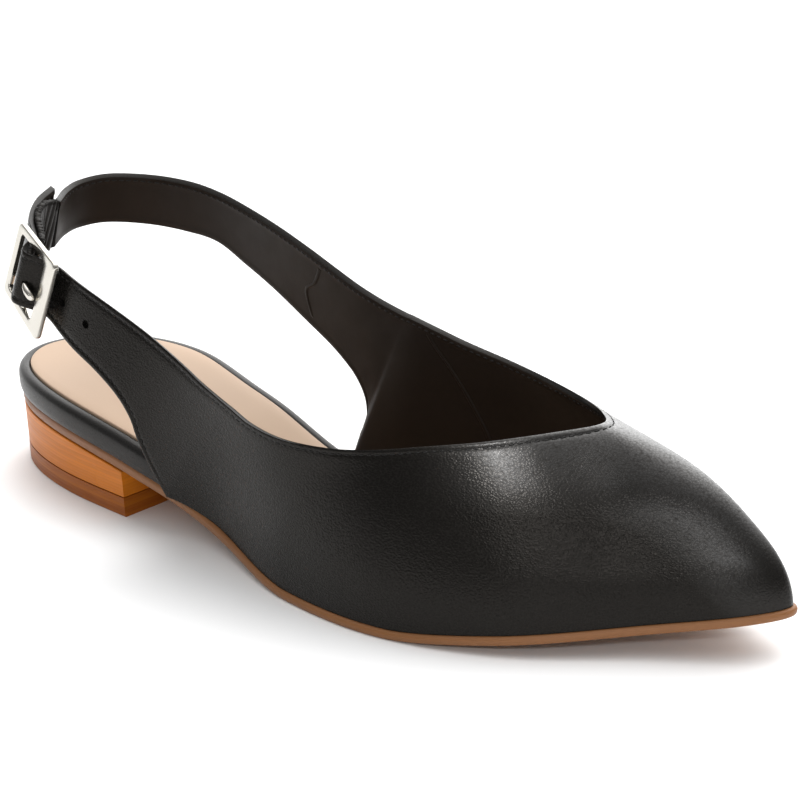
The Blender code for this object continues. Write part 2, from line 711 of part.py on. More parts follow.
def buckle_loop(home, guides, finish):
    """Folded loop: an eye round the pin, slotted for the prong, and a two-layer tail."""
    place = buckle_place()
    hole = PIN_DIAMETER / 2 + GAP
    bm = bmesh.new()
    eye = {}
    for name, radius in (("in", hole), ("out", hole + LOOP_LAYER)):
        for side in (-1, 1):
            ring = []
            for k in range(16):
                angle = math.radians(180 + 11.25 + 22.5 * k)
                spot = Vector((radius * math.cos(angle), side * LOOP_WIDTH / 2, radius * math.sin(angle)))
                ring.append(bm.verts.new(place @ spot))
            eye[name, side] = ring
    for k in range(16):
        after = (k + 1) % 16
        bm.faces.new((eye["in", -1][k], eye["in", 1][k], eye["in", 1][after], eye["in", -1][after]))
        for side in (-1, 1):
            inner, outer = eye["in", side], eye["out", side]
            bm.faces.new((inner[k], outer[k], outer[after], inner[after]))
        if k < 15:
            bm.faces.new((eye["out", -1][k], eye["out", 1][k], eye["out", 1][after], eye["out", -1][after]))

    points, across_end = loop_path()
    across_start = np.array(place.col[1][:3])
    last = (eye["out", 1][15], eye["out", -1][15], eye["out", -1][0], eye["out", 1][0])
    steps = 12
    for k in range(steps + 1):
        at = (len(points) - 1) * k / steps
        before = smooth(range(len(points)), points, max(at - 0.05, 0))
        along = unit(smooth(range(len(points)), points, min(at + 0.05, len(points) - 1)) - before)
        across = across_start + (across_end - across_start) * k / steps
        across = unit(across - along * np.dot(across, along))
        wide = across * LOOP_WIDTH / 2
        deep = np.cross(across, along) * LOOP_LAYER * 0.95
        here = smooth(range(len(points)), points, at)
        corners = (here + wide + deep, here - wide + deep, here - wide - deep, here + wide - deep)
        ring = [bm.verts.new(corner) for corner in corners]
        for c in range(4):
            bm.faces.new((last[c], last[(c + 1) % 4], ring[(c + 1) % 4], ring[c]))
        last = ring
    bm.faces.new(last)
    loop = new_object("buckle_loop", bm, home, finish)

    bm = bmesh.new()
    bmesh.ops.create_cube(bm, size=1.0)
    reach = 4 * (hole + PRONG_DIAMETER / 2 + GAP)
    bmesh.ops.scale(bm, verts=bm.verts, vec=(reach, PRONG_DIAMETER + 4 * GAP, reach))
    bmesh.ops.translate(bm, verts=bm.verts, vec=(reach / 4, 0, 0))
    slot = new_object("loop_slot", bm, home, finish)
    slot.matrix_world = place
    apply_boolean(loop, slot, "DIFFERENCE", guides)


def strap_holes(strap, home, guides, finish):
    """Punched holes: one on the prong, the others toward the toe."""
    for number in range(HOLE_COUNT):
        radius = HOLE_DIAMETER / 2 if number else PRONG_DIAMETER / 2 + 4 * GAP
        bm = bmesh.new()
        deep = 8 * UPPER_WALL
        bmesh.ops.create_cone(bm, cap_ends=True, segments=12, radius1=radius, radius2=radius, depth=deep)
        punch = new_object(f"punch_{number}", bm, home, finish)
        if number:
            row = row_at(number * HOLE_PITCH + 0.15 * BUCKLE_LENGTH)
            middle, ahead, across, out = band_frame(row)
            punch.matrix_world = placed(middle + out * strap_lift(row), ahead, across, out)
        else:
            over_pin = Matrix.Translation((0.6 * PRONG_DIAMETER, 0, STRAP_BULGE / 2 + GAP))
            punch.matrix_world = buckle_place() @ over_pin
        apply_boolean(strap, punch, "DIFFERENCE", guides)


def main():
    clear_scene()
    home = collection("sling_back_flat")
    guides = collection("cutters")
    tan = material("sole_edge", (0.45, 0.27, 0.15), 0.55)
    wood = material("stacked_heel", (0.52, 0.22, 0.06), 0.45)
    dark_wood = material("top_piece", (0.32, 0.13, 0.04), 0.50)
    black = material("black_leather", (0.012, 0.011, 0.011), 0.42)
    beige = material("sock_leather", (0.78, 0.56, 0.42), 0.60)
    metal = material("buckle_metal", (0.80, 0.78, 0.74), 0.18, 1.0)

    heel_body("heel_top_piece", home, dark_wood, HEEL_INSET - TOP_PIECE_FLARE, lambda x: 0.0,
              lambda x: TOP_PIECE_THICKNESS)
    heel_body("heel_block", home, wood, HEEL_INSET, lambda x: TOP_PIECE_THICKNESS + GAP,
              lambda x: underside(x) - GAP)
    outsole(home, tan)
    footbed(home, black)
    sock(home, beige)
    band = upper(home, black)
    strap_holes(band, home, guides, black)
    buckle_loop(home, guides, black)
    buckle_frame(home, metal)
    buckle_pin(home, metal)
    buckle_prong(home, guides, metal)

    for piece in list(home.objects) + list(guides.objects):
        piece.matrix_world = Matrix.Translation((-HEEL_DEPTH / 2, 0, 0)) @ piece.matrix_world


main()
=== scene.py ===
# %% [markdown]
# A sling back flat is one strip of leather on a sole. The strip is the vamp over the toes, runs back along
# both sides as the quarters, and ends in two straps that a buckle joins behind the heel.
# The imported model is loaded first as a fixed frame. Each finer piece below is drawn from the same tables
# of sizes as the solid that it stands for, so it lies where that solid lies.

# %% Load the frame
import functools
import math

import bmesh
import bpy
import numpy as np
from mathutils import Matrix, Vector


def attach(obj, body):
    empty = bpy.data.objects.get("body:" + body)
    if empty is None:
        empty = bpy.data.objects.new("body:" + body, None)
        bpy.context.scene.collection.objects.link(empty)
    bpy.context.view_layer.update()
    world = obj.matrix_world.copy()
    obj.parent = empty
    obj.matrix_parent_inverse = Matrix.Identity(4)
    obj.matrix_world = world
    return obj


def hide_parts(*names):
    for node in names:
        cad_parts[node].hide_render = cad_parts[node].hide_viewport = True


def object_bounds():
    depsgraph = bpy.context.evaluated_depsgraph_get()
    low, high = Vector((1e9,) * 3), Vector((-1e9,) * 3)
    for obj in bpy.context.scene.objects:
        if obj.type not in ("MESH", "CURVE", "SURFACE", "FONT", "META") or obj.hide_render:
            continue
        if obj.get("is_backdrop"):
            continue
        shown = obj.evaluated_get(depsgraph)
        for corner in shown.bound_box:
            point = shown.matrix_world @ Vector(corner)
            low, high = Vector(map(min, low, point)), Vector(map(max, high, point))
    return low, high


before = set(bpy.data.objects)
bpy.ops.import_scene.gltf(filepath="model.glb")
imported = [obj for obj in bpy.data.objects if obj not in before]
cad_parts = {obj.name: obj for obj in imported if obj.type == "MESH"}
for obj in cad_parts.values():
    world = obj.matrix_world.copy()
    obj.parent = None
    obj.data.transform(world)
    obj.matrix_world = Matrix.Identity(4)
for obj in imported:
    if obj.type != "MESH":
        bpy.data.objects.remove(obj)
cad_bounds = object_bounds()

MM = 0.001
print("frame:", sorted(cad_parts))

# %% [markdown]
# The camera stands in front of the toe on the outer side, a little above the shoe, and is tipped slightly
# to one side. Its place was worked out from points of the sole, the heel and the strap, so it is set
# from angles and a distance, not by hand.

# %% Camera
AZIMUTH, ELEVATION, ROLL = 48.26, 21.22, -3.76
DISTANCE = 649.67 * MM
LOOK_AT = np.array([98, 0, 35]) * MM
FOCAL_PIXELS, FRAME_PIXELS = 2418.84, 800
CENTRE_PIXEL = (338.4, 425.4)


def placed(middle, ahead, across, out):
    """Matrix that puts a thing at a point, turned to three directions."""
    matrix = Matrix.Identity(4)
    for column, axis in enumerate((ahead, across, out, middle)):
        for line in range(3):
            matrix[line][column] = float(axis[line])
    return matrix


azimuth, elevation, roll = (math.radians(angle) for angle in (AZIMUTH, ELEVATION, ROLL))
forward = np.array([
    -math.sin(azimuth) * math.cos(elevation),
    math.cos(azimuth) * math.cos(elevation),
    -math.sin(elevation),
])
right = np.array([math.cos(azimuth), math.sin(azimuth), 0.0])
upward = np.cross(right, forward)
rolled_right = math.cos(roll) * right + math.sin(roll) * upward
rolled_up = -math.sin(roll) * right + math.cos(roll) * upward

camera_data = bpy.data.cameras.new("camera")
camera_data.sensor_width = 36
camera_data.lens = 36 * FOCAL_PIXELS / FRAME_PIXELS
camera_data.shift_x = (FRAME_PIXELS / 2 - CENTRE_PIXEL[0]) / FRAME_PIXELS
camera_data.shift_y = (CENTRE_PIXEL[1] - FRAME_PIXELS / 2) / FRAME_PIXELS
camera_data.clip_start = 0.01
camera = bpy.data.objects.new("camera", camera_data)
bpy.context.scene.collection.objects.link(camera)
camera.matrix_world = placed(LOOK_AT - forward * DISTANCE, rolled_right, rolled_up, -forward)
bpy.context.scene.camera = camera
print("camera at", [round(value, 3) for value in camera.matrix_world.translation])

# %% [markdown]
# Shader maths is easier to read as arithmetic. The small class below wraps one socket, and adding or
# multiplying two of them adds the Math node. A second class holds one material and adds any other node.

# %% Finishes as arithmetic


class Wire:
    """One output socket that can be used in a Python expression."""

    def __init__(self, tree, socket):
        self.tree, self.socket = tree, socket

    def math(self, operation, *others, clamp=False):
        node = self.tree.nodes.new("ShaderNodeMath")
        node.operation = operation
        node.use_clamp = clamp
        for slot, value in zip(node.inputs, (self, *others)):
            if isinstance(value, Wire):
                self.tree.links.new(value.socket, slot)
            else:
                slot.default_value = value
        return Wire(self.tree, node.outputs[0])

    def __add__(self, other):
        return self.math("ADD", other)

    __radd__ = __add__

    def __mul__(self, other):
        return self.math("MULTIPLY", other)

    __rmul__ = __mul__

    def __sub__(self, other):
        return self.math("SUBTRACT", other)

    def __rsub__(self, other):
        return (self * -1.0) + other

    def __truediv__(self, other):
        return self.math("DIVIDE", other)

    def __pow__(self, other):
        return self.math("POWER", other)

    def within(self, centre, half):
        """1 at the centre, falling to 0 at half a width away."""
        return 1.0 - (self.math("SUBTRACT", centre).math("ABSOLUTE") / half).math("MINIMUM", 1.0)


class Finish:
    """One material, with its shader and a way to add nodes to it."""

    def __init__(self, name, colour, roughness, **sockets):
        self.material = bpy.data.materials.new(name)
        self.material.use_nodes = True
        self.tree = self.material.node_tree
        self.shader = self.tree.nodes["Principled BSDF"]
        self.shader.inputs["Base Color"].default_value = (*colour, 1)
        self.shader.inputs["Roughness"].default_value = roughness
        for key, value in sockets.items():
            self.shader.inputs[key.replace("_", " ")].default_value = value

    def node(self, kind, inputs=(), output=0, **settings):
        made = self.tree.nodes.new("ShaderNode" + kind)
        for key, value in settings.items():
            setattr(made, key, value)
        for key, value in dict(inputs).items():
            if isinstance(value, Wire):
                self.tree.links.new(value.socket, made.inputs[key])
            else:
                made.inputs[key].default_value = value
        return Wire(self.tree, made.outputs[output])

    def place(self):
        return self.node("TexCoord", output="Object")

    def noise(self, scale, detail=3.0, where=None, rough=0.55):
        inputs = {"Vector": where or self.place(), "Scale": scale, "Detail": detail, "Roughness": rough}
        return self.node("TexNoise", inputs)

    def mix(self, share, first, second):
        """Colour between two, by a share from 0 to 1."""
        return self.node("Mix", {0: share, 6: first, 7: second}, output=2, data_type="RGBA")

    def feed(self, socket, wire):
        self.tree.links.new(wire.socket, self.shader.inputs[socket])

    def bump(self, height, strength, distance):
        return self.node("Bump", {"Height": height, "Strength": strength, "Distance": distance})


def tone(red, green, blue):
    return (red, green, blue, 1.0)


print("finishes ready")

# %% [markdown]
# A plain pale floor and soft light. Black leather shows little colour of its own: what the eye reads is
# the room mirrored in it. The room is bright overhead and behind the shoe and dim in front of it, so the
# near side stays dark, and each lamp hangs where a known spot of the vamp mirrors it toward the camera.

# %% Floor and light
scene = bpy.context.scene
scene.view_settings.view_transform = "Standard"
HORIZON_LIGHT, ZENITH_LIGHT, BACK_LIGHT, SKYLIGHT = 0.13, 0.40, 2.8, 4.4
SKYLIGHT_TOWARD = (-0.10, 0.55, 0.83)
FLOOR_HALF_WIDTH = 6.0


def as_object(name, bm):
    mesh = bpy.data.meshes.new(name)
    bm.to_mesh(mesh)
    bm.free()
    made = bpy.data.objects.new(name, mesh)
    scene.collection.objects.link(made)
    return made


bm = bmesh.new()
bmesh.ops.create_grid(bm, x_segments=1, y_segments=1, size=FLOOR_HALF_WIDTH)
floor = as_object("floor", bm)
floor.data.materials.append(Finish("pale_floor", (0.93, 0.93, 0.93), 0.9).material)
floor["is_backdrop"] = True

room = bpy.data.worlds.new("room")
room.use_nodes = True
tree = room.node_tree
sight = tree.nodes.new("ShaderNodeSeparateXYZ")
tree.links.new(tree.nodes.new("ShaderNodeTexCoord").outputs["Generated"], sight.inputs[0])
east, north, height = (Wire(tree, socket) for socket in sight.outputs)
backward = (east * float(forward[0]) + north * float(forward[1])).math("MAXIMUM", 0.0)
overhead = east * SKYLIGHT_TOWARD[0] + north * SKYLIGHT_TOWARD[1] + height * SKYLIGHT_TOWARD[2]
overhead = overhead.math("MAXIMUM", 0.0)
strength = height.math("MAXIMUM", 0.0) * (ZENITH_LIGHT - HORIZON_LIGHT) + HORIZON_LIGHT
strength = strength + backward**3 * BACK_LIGHT + overhead**5 * SKYLIGHT
background = tree.nodes["Background"]
background.inputs["Color"].default_value = (1, 1, 1, 1)
tree.links.new(strength.socket, background.inputs["Strength"])
scene.world = room

LAMPS = (
    # name, spot that mirrors it, direction it is mirrored to, distance, width, height, watts
    ("over_shoe", (0.10, 0.0, 0.03), (0.12, -0.22, 0.97), 1.30, 1.30, 1.10, 2.5),
    ("toe_band_high", (0.209, 0.010, 0.029), (0.46, -0.73, 0.51), 0.40, 0.24, 0.010, 0.29),
    ("toe_band_low", (0.208, 0.004, 0.020), (0.52, -0.83, 0.18), 0.40, 0.18, 0.008, 0.085),
)


def hang(name, data, spot, direction, distance):
    """Put a lamp where a spot of the shoe mirrors it, facing that spot."""
    lamp = bpy.data.objects.new(name, data)
    lamp.location = Vector(spot) + Vector(direction).normalized() * distance
    lamp.rotation_mode = "QUATERNION"
    lamp.rotation_quaternion = (-Vector(direction)).to_track_quat("-Z", "Y")
    lamp.visible_camera = False
    scene.collection.objects.link(lamp)


for name, spot, direction, distance, width, height, watts in LAMPS:
    box = bpy.data.lights.new(name, "AREA")
    box.shape = "RECTANGLE"
    box.size, box.size_y, box.energy = width, height, watts
    hang(name, box, spot, direction, distance)

SHINE_SPOT, SHINE_TOWARD, SHINE_DISTANCE = (0.166, -0.010, 0.046), (0.28, -0.54, 0.80), 0.20
SHINE_CONE, SHINE_EDGE, SHINE_RADIUS, SHINE_WATTS = math.radians(15), 1.0, 0.010, 0.80
shine = bpy.data.lights.new("throat_shine", "SPOT")
shine.spot_size, shine.spot_blend = SHINE_CONE, SHINE_EDGE
shine.shadow_soft_size, shine.energy = SHINE_RADIUS, SHINE_WATTS
hang("throat_shine", shine, SHINE_SPOT, SHINE_TOWARD, SHINE_DISTANCE)
print("lamps:", [lamp[0] for lamp in LAMPS] + ["throat_shine"])

# %% [markdown]
# Black calf leather has a fine pebbled grain: flat cells less than a millimetre across, with creases
# between them that run a little longer one way than the other. Voronoi cells bent by noise give it.
# The cells tilt the surface and the creases are duller than the cells, so the grain shows in the lights.
# Wear and wax make the vamp glossier along its ridge than on its sides, which a thin coat over it gives.

# %% Black leather
CELL = 0.54 * MM
RUBBED_START, RUBBED_END, RUBBED_FADE_IN, RUBBED_FADE_OUT = 150 * MM, 232 * MM, 20 * MM, 14 * MM
RIDGE_HEIGHT, RIDGE_FALLS_FROM, RIDGE_FALL, RUBBED_DEPTH = 50 * MM, 180 * MM, 14.3, 16 * MM


def polish(made, cells, gloss):
    """Extra gloss where the vamp is rubbed: along its ridge, fading down its sides."""
    where = made.place()
    x, z = (made.node("SeparateXYZ", {"Vector": where}, output=axis) for axis in ("X", "Z"))
    from_tip = (RUBBED_END - x) / RUBBED_FADE_OUT
    forepart = ((x - RUBBED_START) / RUBBED_FADE_IN).math("MINIMUM", from_tip, clamp=True)
    past_throat = (x - RIDGE_FALLS_FROM).math("MAXIMUM", 0.0)
    below_ridge = RIDGE_HEIGHT - past_throat * past_throat * RIDGE_FALL - z
    rubbed = (1.0 - below_ridge / RUBBED_DEPTH).math("MINIMUM", 1.0).math("MAXIMUM", 0.0)
    tops = (1.25 - cells).math("MAXIMUM", 0.0)
    made.feed("Coat Weight", rubbed * forepart * tops * gloss)


def leather(name, colour, roughness, grain, coat=0.0, gloss=0.0):
    made = Finish(name, colour, roughness, Coat_Weight=coat, Coat_Roughness=0.30, Specular_IOR_Level=0.16)
    made.shader.inputs["Specular Tint"].default_value = (1.0, 0.93, 0.86, 1)
    where = made.place()
    bend = made.node("TexNoise", {"Vector": where, "Scale": 700.0, "Detail": 1.0}, output="Color")
    bent = made.node("VectorMath", {0: bend, 1: (0.0005, 0.0005, 0.0005)}, operation="MULTIPLY")
    moved = made.node("VectorMath", {0: where, 1: bent}, operation="ADD")
    long_way = made.node("Mapping", {"Vector": moved, "Scale": (0.80, 1.0, 1.15)})
    cells = made.node(
        "TexVoronoi", {"Vector": long_way, "Scale": 1 / CELL, "Smoothness": 0.25}, feature="SMOOTH_F1"
    )
    fine = made.noise(5200.0, 2.0)
    broad = made.noise(38.0, 3.0)
    height = (1.0 - cells) * (0.65 + 0.5 * broad) + fine * 0.12
    made.feed("Normal", made.bump(height, grain, 0.00011))
    made.feed("Roughness", made.noise(90.0, 4.0) * 0.06 + cells * 0.24 + (roughness - 0.13))
    pale = tuple(min(1.0, part * 1.7) for part in colour)
    made.feed("Base Color", made.mix(broad * cells * 1.2, tone(*colour), tone(*pale)))
    if gloss:
        polish(made, cells, gloss)
    return made


CALF_BLACK, RIM_BLACK = (0.0055, 0.0050, 0.0045), (0.0100, 0.0095, 0.0092)
black = leather("black_calf", CALF_BLACK, 0.24, 0.75, gloss=1.0)
edge_black = leather("folded_edge", CALF_BLACK, 0.33, 0.30)
rim_black = leather("rim_leather", RIM_BLACK, 0.32, 0.30, coat=0.04)

# The lining is a thin dark brown kid leather, matt, with soft rubbing marks.
lining = Finish("brown_lining", (0.013, 0.0085, 0.0060), 0.55, Specular_IOR_Level=0.16)
rubbed = lining.noise(46.0, 4.0)
lining.feed("Base Color", lining.mix(rubbed, tone(0.0088, 0.0047, 0.0024), tone(0.0180, 0.0108, 0.0064)))
lining.feed("Roughness", lining.noise(150.0, 3.0) * 0.2 + 0.45)
lining.feed("Normal", lining.bump(lining.noise(2100.0, 3.0), 0.30, 0.00008))
print("leathers:", [made.material.name for made in (black, edge_black, rim_black, lining)])

# %% [markdown]
# A heel block on this kind of shoe is stacked: thin sheets glued, pressed and turned, so fine dark glue
# lines run round it and each layer is a slightly different brown. The top piece under it is one darker
# slab. The sole's edge is trimmed, stained tan and waxed, and it is a little pinker at the heel.

# %% Heel, sole and sock finishes
LAYER = 0.95 * MM


def stacked(name, light, dark, line_depth):
    made = Finish(name, light, 0.42, Coat_Weight=0.04, Coat_Roughness=0.25, Specular_IOR_Level=0.25)
    where = made.place()
    height = made.node("SeparateXYZ", {"Vector": where}, output="Z")
    stretched = made.node("Mapping", {"Vector": where, "Scale": (1.0, 1.0, 14.0)})
    streak = made.noise(75.0, 5.0, stretched, 0.6)
    waver = made.noise(60.0, 2.0) * 0.0006
    layer = (height + waver) / LAYER
    line = (layer.math("FRACT")).within(0.5, 0.22)
    each = made.node("TexWhiteNoise", {"W": layer.math("ROUND")}, noise_dimensions="1D")
    share = (streak * 0.75 + each * 0.55 - 0.25).math("MAXIMUM", 0.0)
    body = made.mix(share, tone(*light), tone(*dark))
    glue = tuple(0.42 * part for part in dark)
    made.feed("Base Color", made.mix(line * line_depth, body, tone(*glue)))
    made.feed("Roughness", streak * 0.22 + 0.34)
    made.feed("Normal", made.bump(line * -0.6 + streak * 0.7, 0.35, 0.00015))
    return made


heel_wood = stacked("stacked_layers", (0.680, 0.205, 0.008), (0.490, 0.135, 0.005), 0.10)
top_wood = stacked("top_slab", (0.390, 0.112, 0.002), (0.255, 0.056, 0.001), 0.08)

sole_tan = Finish("tan_sole_edge", (0.26, 0.11, 0.04), 0.42, Specular_IOR_Level=0.3)
where = sole_tan.place()
along = sole_tan.node("SeparateXYZ", {"Vector": where}, output="X")
heel_share = 1.0 - ((along + 0.010) * 14.0).math("MAXIMUM", 0.0).math("MINIMUM", 1.0)
grain = sole_tan.noise(240.0, 4.0, sole_tan.node("Mapping", {"Vector": where, "Scale": (0.35, 0.35, 2.0)}))
base = sole_tan.mix(heel_share, tone(0.255, 0.108, 0.036), tone(0.250, 0.118, 0.066))
sole_tan.feed("Base Color", sole_tan.mix(grain * 0.55, base, tone(0.215, 0.100, 0.048)))
sole_tan.feed("Roughness", grain * 0.25 + 0.33)
sole_tan.feed("Normal", sole_tan.bump(grain, 0.30, 0.00012))

sock_beige = Finish("beige_sock", (0.80, 0.63, 0.48), 0.62, Specular_IOR_Level=0.35)
cloud = sock_beige.noise(22.0, 4.0)
pores = sock_beige.noise(1900.0, 2.0)
sock_beige.feed("Base Color", sock_beige.mix(cloud, tone(0.480, 0.335, 0.232), tone(0.545, 0.395, 0.282)))
sock_beige.feed("Roughness", cloud * 0.18 + 0.52)
sock_beige.feed("Normal", sock_beige.bump(pores, 0.25, 0.00008))

# Pale polished metal, with hair lines from the polishing wheel that run along the frame.
metal = Finish("pale_metal", (0.80, 0.78, 0.73), 0.16, Metallic=1.0)
hair = metal.noise(900.0, 2.0, metal.node("Mapping", {"Vector": metal.place(), "Scale": (0.12, 1.0, 0.12)}))
metal.feed("Roughness", hair * 0.16 + 0.09)
tarnish = metal.noise(60.0, 2.0)
metal.feed("Base Color", metal.mix(tarnish, tone(0.54, 0.515, 0.465), tone(0.64, 0.615, 0.56)))
metal.feed("Normal", metal.bump(hair, 0.12, 0.00003))
print("heel, sole, sock and metal finishes ready")

# %% [markdown]
# The sole is drawn as a shoemaker's pattern: half widths to each side of a centre line that swings
# inward in front of the waist, and a profile of heights. One angle runs round it, 0 at the heel and
# half a turn at the toe, which puts the stations close together where the outline bends most.

# %% Sole pattern
LENGTH, BALL, WAIST, HEEL = 266 * MM, 76 * MM, 49.5 * MM, 55.2 * MM
HEEL_HEIGHT, TOE_SPRING, TOE_SWING = 19.4 * MM, 10.5 * MM, 23.7 * MM
HEEL_DEPTH = 70 * MM
GAP = 0.3 * MM
SOLE_OUTLINE = (
    # length, outer side, inner side
    (0.045, 0.320 * HEEL, 0.391 * HEEL),
    (0.150, 0.467 * HEEL, 0.533 * HEEL),
    (0.282, 0.553 * WAIST, 0.495 * WAIST),
    (0.414, 0.556 * WAIST, 0.444 * WAIST),
    (0.545, 0.472 * BALL, 0.377 * BALL),
    (0.677, 0.512 * BALL, 0.478 * BALL),
    (0.789, 0.433 * BALL, 0.420 * BALL),
    (0.902, 0.221 * BALL, 0.232 * BALL),
    (0.970, 0.114 * BALL, 0.112 * BALL),
)
SOLE_PROFILE = np.array((
    (0.000, 1.000 * HEEL_HEIGHT),
    (0.195, 0.850 * HEEL_HEIGHT),
    (0.320, 0.598 * HEEL_HEIGHT),
    (0.432, 0.225 * HEEL_HEIGHT),
    (0.545, 0.0),
    (0.692, 0.0),
    (0.780, 0.230 * TOE_SPRING),
    (0.880, 0.530 * TOE_SPRING),
    (1.000, 1.000 * TOE_SPRING),
))


def smooth(places, values, at):
    """Value at a place on a smooth curve through the values of a table."""
    places = np.asarray(places, float)
    values = np.asarray(values, float)
    slopes = np.gradient(values, places, axis=0)
    k = int(np.clip(np.searchsorted(places, at, side="right") - 1, 0, len(places) - 2))
    span = places[k + 1] - places[k]
    t = (at - places[k]) / span
    return (
        (2 * t**3 - 3 * t**2 + 1) * values[k]
        + (t**3 - 2 * t**2 + t) * span * slopes[k]
        + (3 * t**2 - 2 * t**3) * values[k + 1]
        + (t**3 - t**2) * span * slopes[k + 1]
    )


def blend(low, high, at):
    t = min(1.0, max(0.0, (at - low) / (high - low)))
    return t * t * (3 - 2 * t)


def turn_at(share, side):
    angle = math.acos(max(-1.0, min(1.0, 1 - 2 * share)))
    return angle if side < 0 else 2 * math.pi - angle


def centre_line(x):
    waist = 0.451 * LENGTH
    return TOE_SWING * max(0.0, (x - waist) / (LENGTH - waist)) ** 2


OUTLINE_TURNS = [0.0] + [turn_at(row[0], -1) for row in SOLE_OUTLINE] + [math.pi]
OUTLINE_WIDTHS = {
    -1: [0.0] + [row[1] for row in SOLE_OUTLINE] + [0.0],
    1: [0.0] + [row[2] for row in SOLE_OUTLINE] + [0.0],
}


def sole_edge(turn):
    side = -1 if turn <= math.pi else 1
    angle = turn if side < 0 else 2 * math.pi - turn
    half = max(0.0, float(smooth(OUTLINE_TURNS, OUTLINE_WIDTHS[side], angle)))
    x = LENGTH * (1 - math.cos(angle)) / 2
    return np.array([x, centre_line(x) + side * half])


def outline(turn, outward=0.0):
    ahead = sole_edge((turn + 0.01) % (2 * math.pi))
    behind = sole_edge((turn - 0.01) % (2 * math.pi))
    along = (ahead - behind) / np.linalg.norm(ahead - behind)
    return sole_edge(turn) + outward * np.array([along[1], -along[0]])


def underside(x):
    share = min(1.0, max(0.0, x / LENGTH))
    if SOLE_PROFILE[4, 0] <= share <= SOLE_PROFILE[5, 0]:
        return 0.0
    return max(0.0, float(smooth(SOLE_PROFILE[:, 0], SOLE_PROFILE[:, 1], share)))


SOLE_THICK_HEEL, SOLE_THICK_FORE = 3.5 * MM, 2.4 * MM


def sole_top(x):
    share = blend(0.30 * LENGTH, 0.56 * LENGTH, x)
    return underside(x) + SOLE_THICK_HEEL + (SOLE_THICK_FORE - SOLE_THICK_HEEL) * share


UPPER_WALL, SOLE_MARGIN, RIM_PROUD, TOE_CLEARANCE = 1.6 * MM, 1.0 * MM, 0.7 * MM, 1.6 * MM
WINGS = {-1: 93 * MM, 1: 111 * MM}
FLARE_LENGTH = 20 * MM


def foot_offset(turn):
    """Where the foot of the upper stands from the sole's outline: it flares out round the rim."""
    wing = WINGS[-1 if turn < math.pi else 1]
    flare = max(0.0, 1 - max(0.0, sole_edge(turn)[0] - wing) / FLARE_LENGTH) ** 2
    return (SOLE_MARGIN + RIM_PROUD + UPPER_WALL + GAP) * flare - SOLE_MARGIN


def board_offset(turn):
    clear = GAP + TOE_CLEARANCE * blend(0.85 * LENGTH, LENGTH, sole_edge(turn)[0])
    return min(RIM_PROUD, foot_offset(turn) - UPPER_WALL - clear)


INSET_BACK, INSET_FORE = 3.8 * MM, 1.2 * MM


def sock_inset(turn):
    fore = blend(0.42 * LENGTH, 0.52 * LENGTH, sole_edge(turn)[0])
    return INSET_BACK + (INSET_FORE - INSET_BACK) * fore


RIM_HEIGHT, BOARD_FORE = 7.1 * MM, 2.6 * MM


def rim_top(x):
    fore = blend(WINGS[-1] - FLARE_LENGTH / 2, 0.6 * LENGTH, x)
    return sole_top(x) + GAP + RIM_HEIGHT + (BOARD_FORE - RIM_HEIGHT) * fore


print("sole pattern: ball", round(BALL / MM, 1), "mm, length", round(LENGTH / MM, 1), "mm")

# %% [markdown]
# Every flat layer of the shoe has the same build: a curved top, a shaped edge and a curved underside. A
# grid is bent to the outline for the top, its border is extruded step by step down the edge's section, and
# a second grid closes the bottom. Each point remembers where it sits on the pattern.

# %% Layers of the sole
LENGTHWISE, CROSSWISE = 120, 14


@functools.lru_cache(None)
def two_sides(turn, outward):
    """Outer and inner edge of the outline at one turn."""
    inner_turn = (2 * math.pi - turn) % (2 * math.pi)
    return outline(turn, outward(turn)), outline(inner_turn, outward(inner_turn))


def sole_place(share, across, outward):
    """Point of the pattern: share runs heel to toe, across runs outer side to inner side."""
    outer, inner = two_sides(math.pi * share, outward)
    return outer + (inner - outer) * across


def heel_place(share, across, outward):
    """The heel's outline: the back of the sole, cut straight across at the breast."""
    outer, inner = two_sides(turn_at(HEEL_DEPTH / LENGTH, -1) * share, outward)
    x, y = outer + (inner - outer) * across
    return np.array([min(x, HEEL_DEPTH), y])


def finished(name, bm, finishes, rides_for, slot, sharp=35):
    """Mesh object of the shoe: placed in the frame, on the root body, in place of its solid."""
    bmesh.ops.translate(bm, verts=bm.verts, vec=(-HEEL_DEPTH / 2, 0, 0))
    made = as_object(name, bm)
    made.data.shade_smooth()
    made.data.set_sharp_from_angle(angle=math.radians(sharp))
    for finish in finishes:
        made.data.materials.append(finish.material)
    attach(made, "root")
    if rides_for:
        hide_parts(rides_for)
    print(name, len(made.data.polygons), "faces")
    return made


def layer(name, place, sections, finish, rides_for, slot, sharp=35):
    bm = bmesh.new()
    share_of = bm.verts.layers.float.new("share")
    across_of = bm.verts.layers.float.new("across")

    def settle(verts, section):
        outward, height = section
        for vert in verts:
            x, y = place(vert[share_of], vert[across_of], outward)
            vert.co = (x, y, height(x))

    def sheet(section):
        made = bmesh.ops.create_grid(bm, x_segments=LENGTHWISE, y_segments=CROSSWISE, size=0.5)
        for vert in made["verts"]:
            vert[share_of], vert[across_of] = vert.co.x + 0.5, vert.co.y + 0.5
        settle(made["verts"], section)

    sheet(sections[0])
    bmesh.ops.remove_doubles(bm, verts=bm.verts, dist=1e-6)
    border = [edge for edge in bm.edges if edge.is_boundary]
    for section in sections[1:]:
        grown = bmesh.ops.extrude_edge_only(bm, edges=border)["geom"]
        settle([part for part in grown if isinstance(part, bmesh.types.BMVert)], section)
        border = [part for part in grown if isinstance(part, bmesh.types.BMEdge)]
    sheet(sections[-1])
    bmesh.ops.remove_doubles(bm, verts=bm.verts, dist=1e-6)
    bmesh.ops.recalc_face_normals(bm, faces=bm.faces)
    return finished(name, bm, [finish], rides_for, slot, sharp)


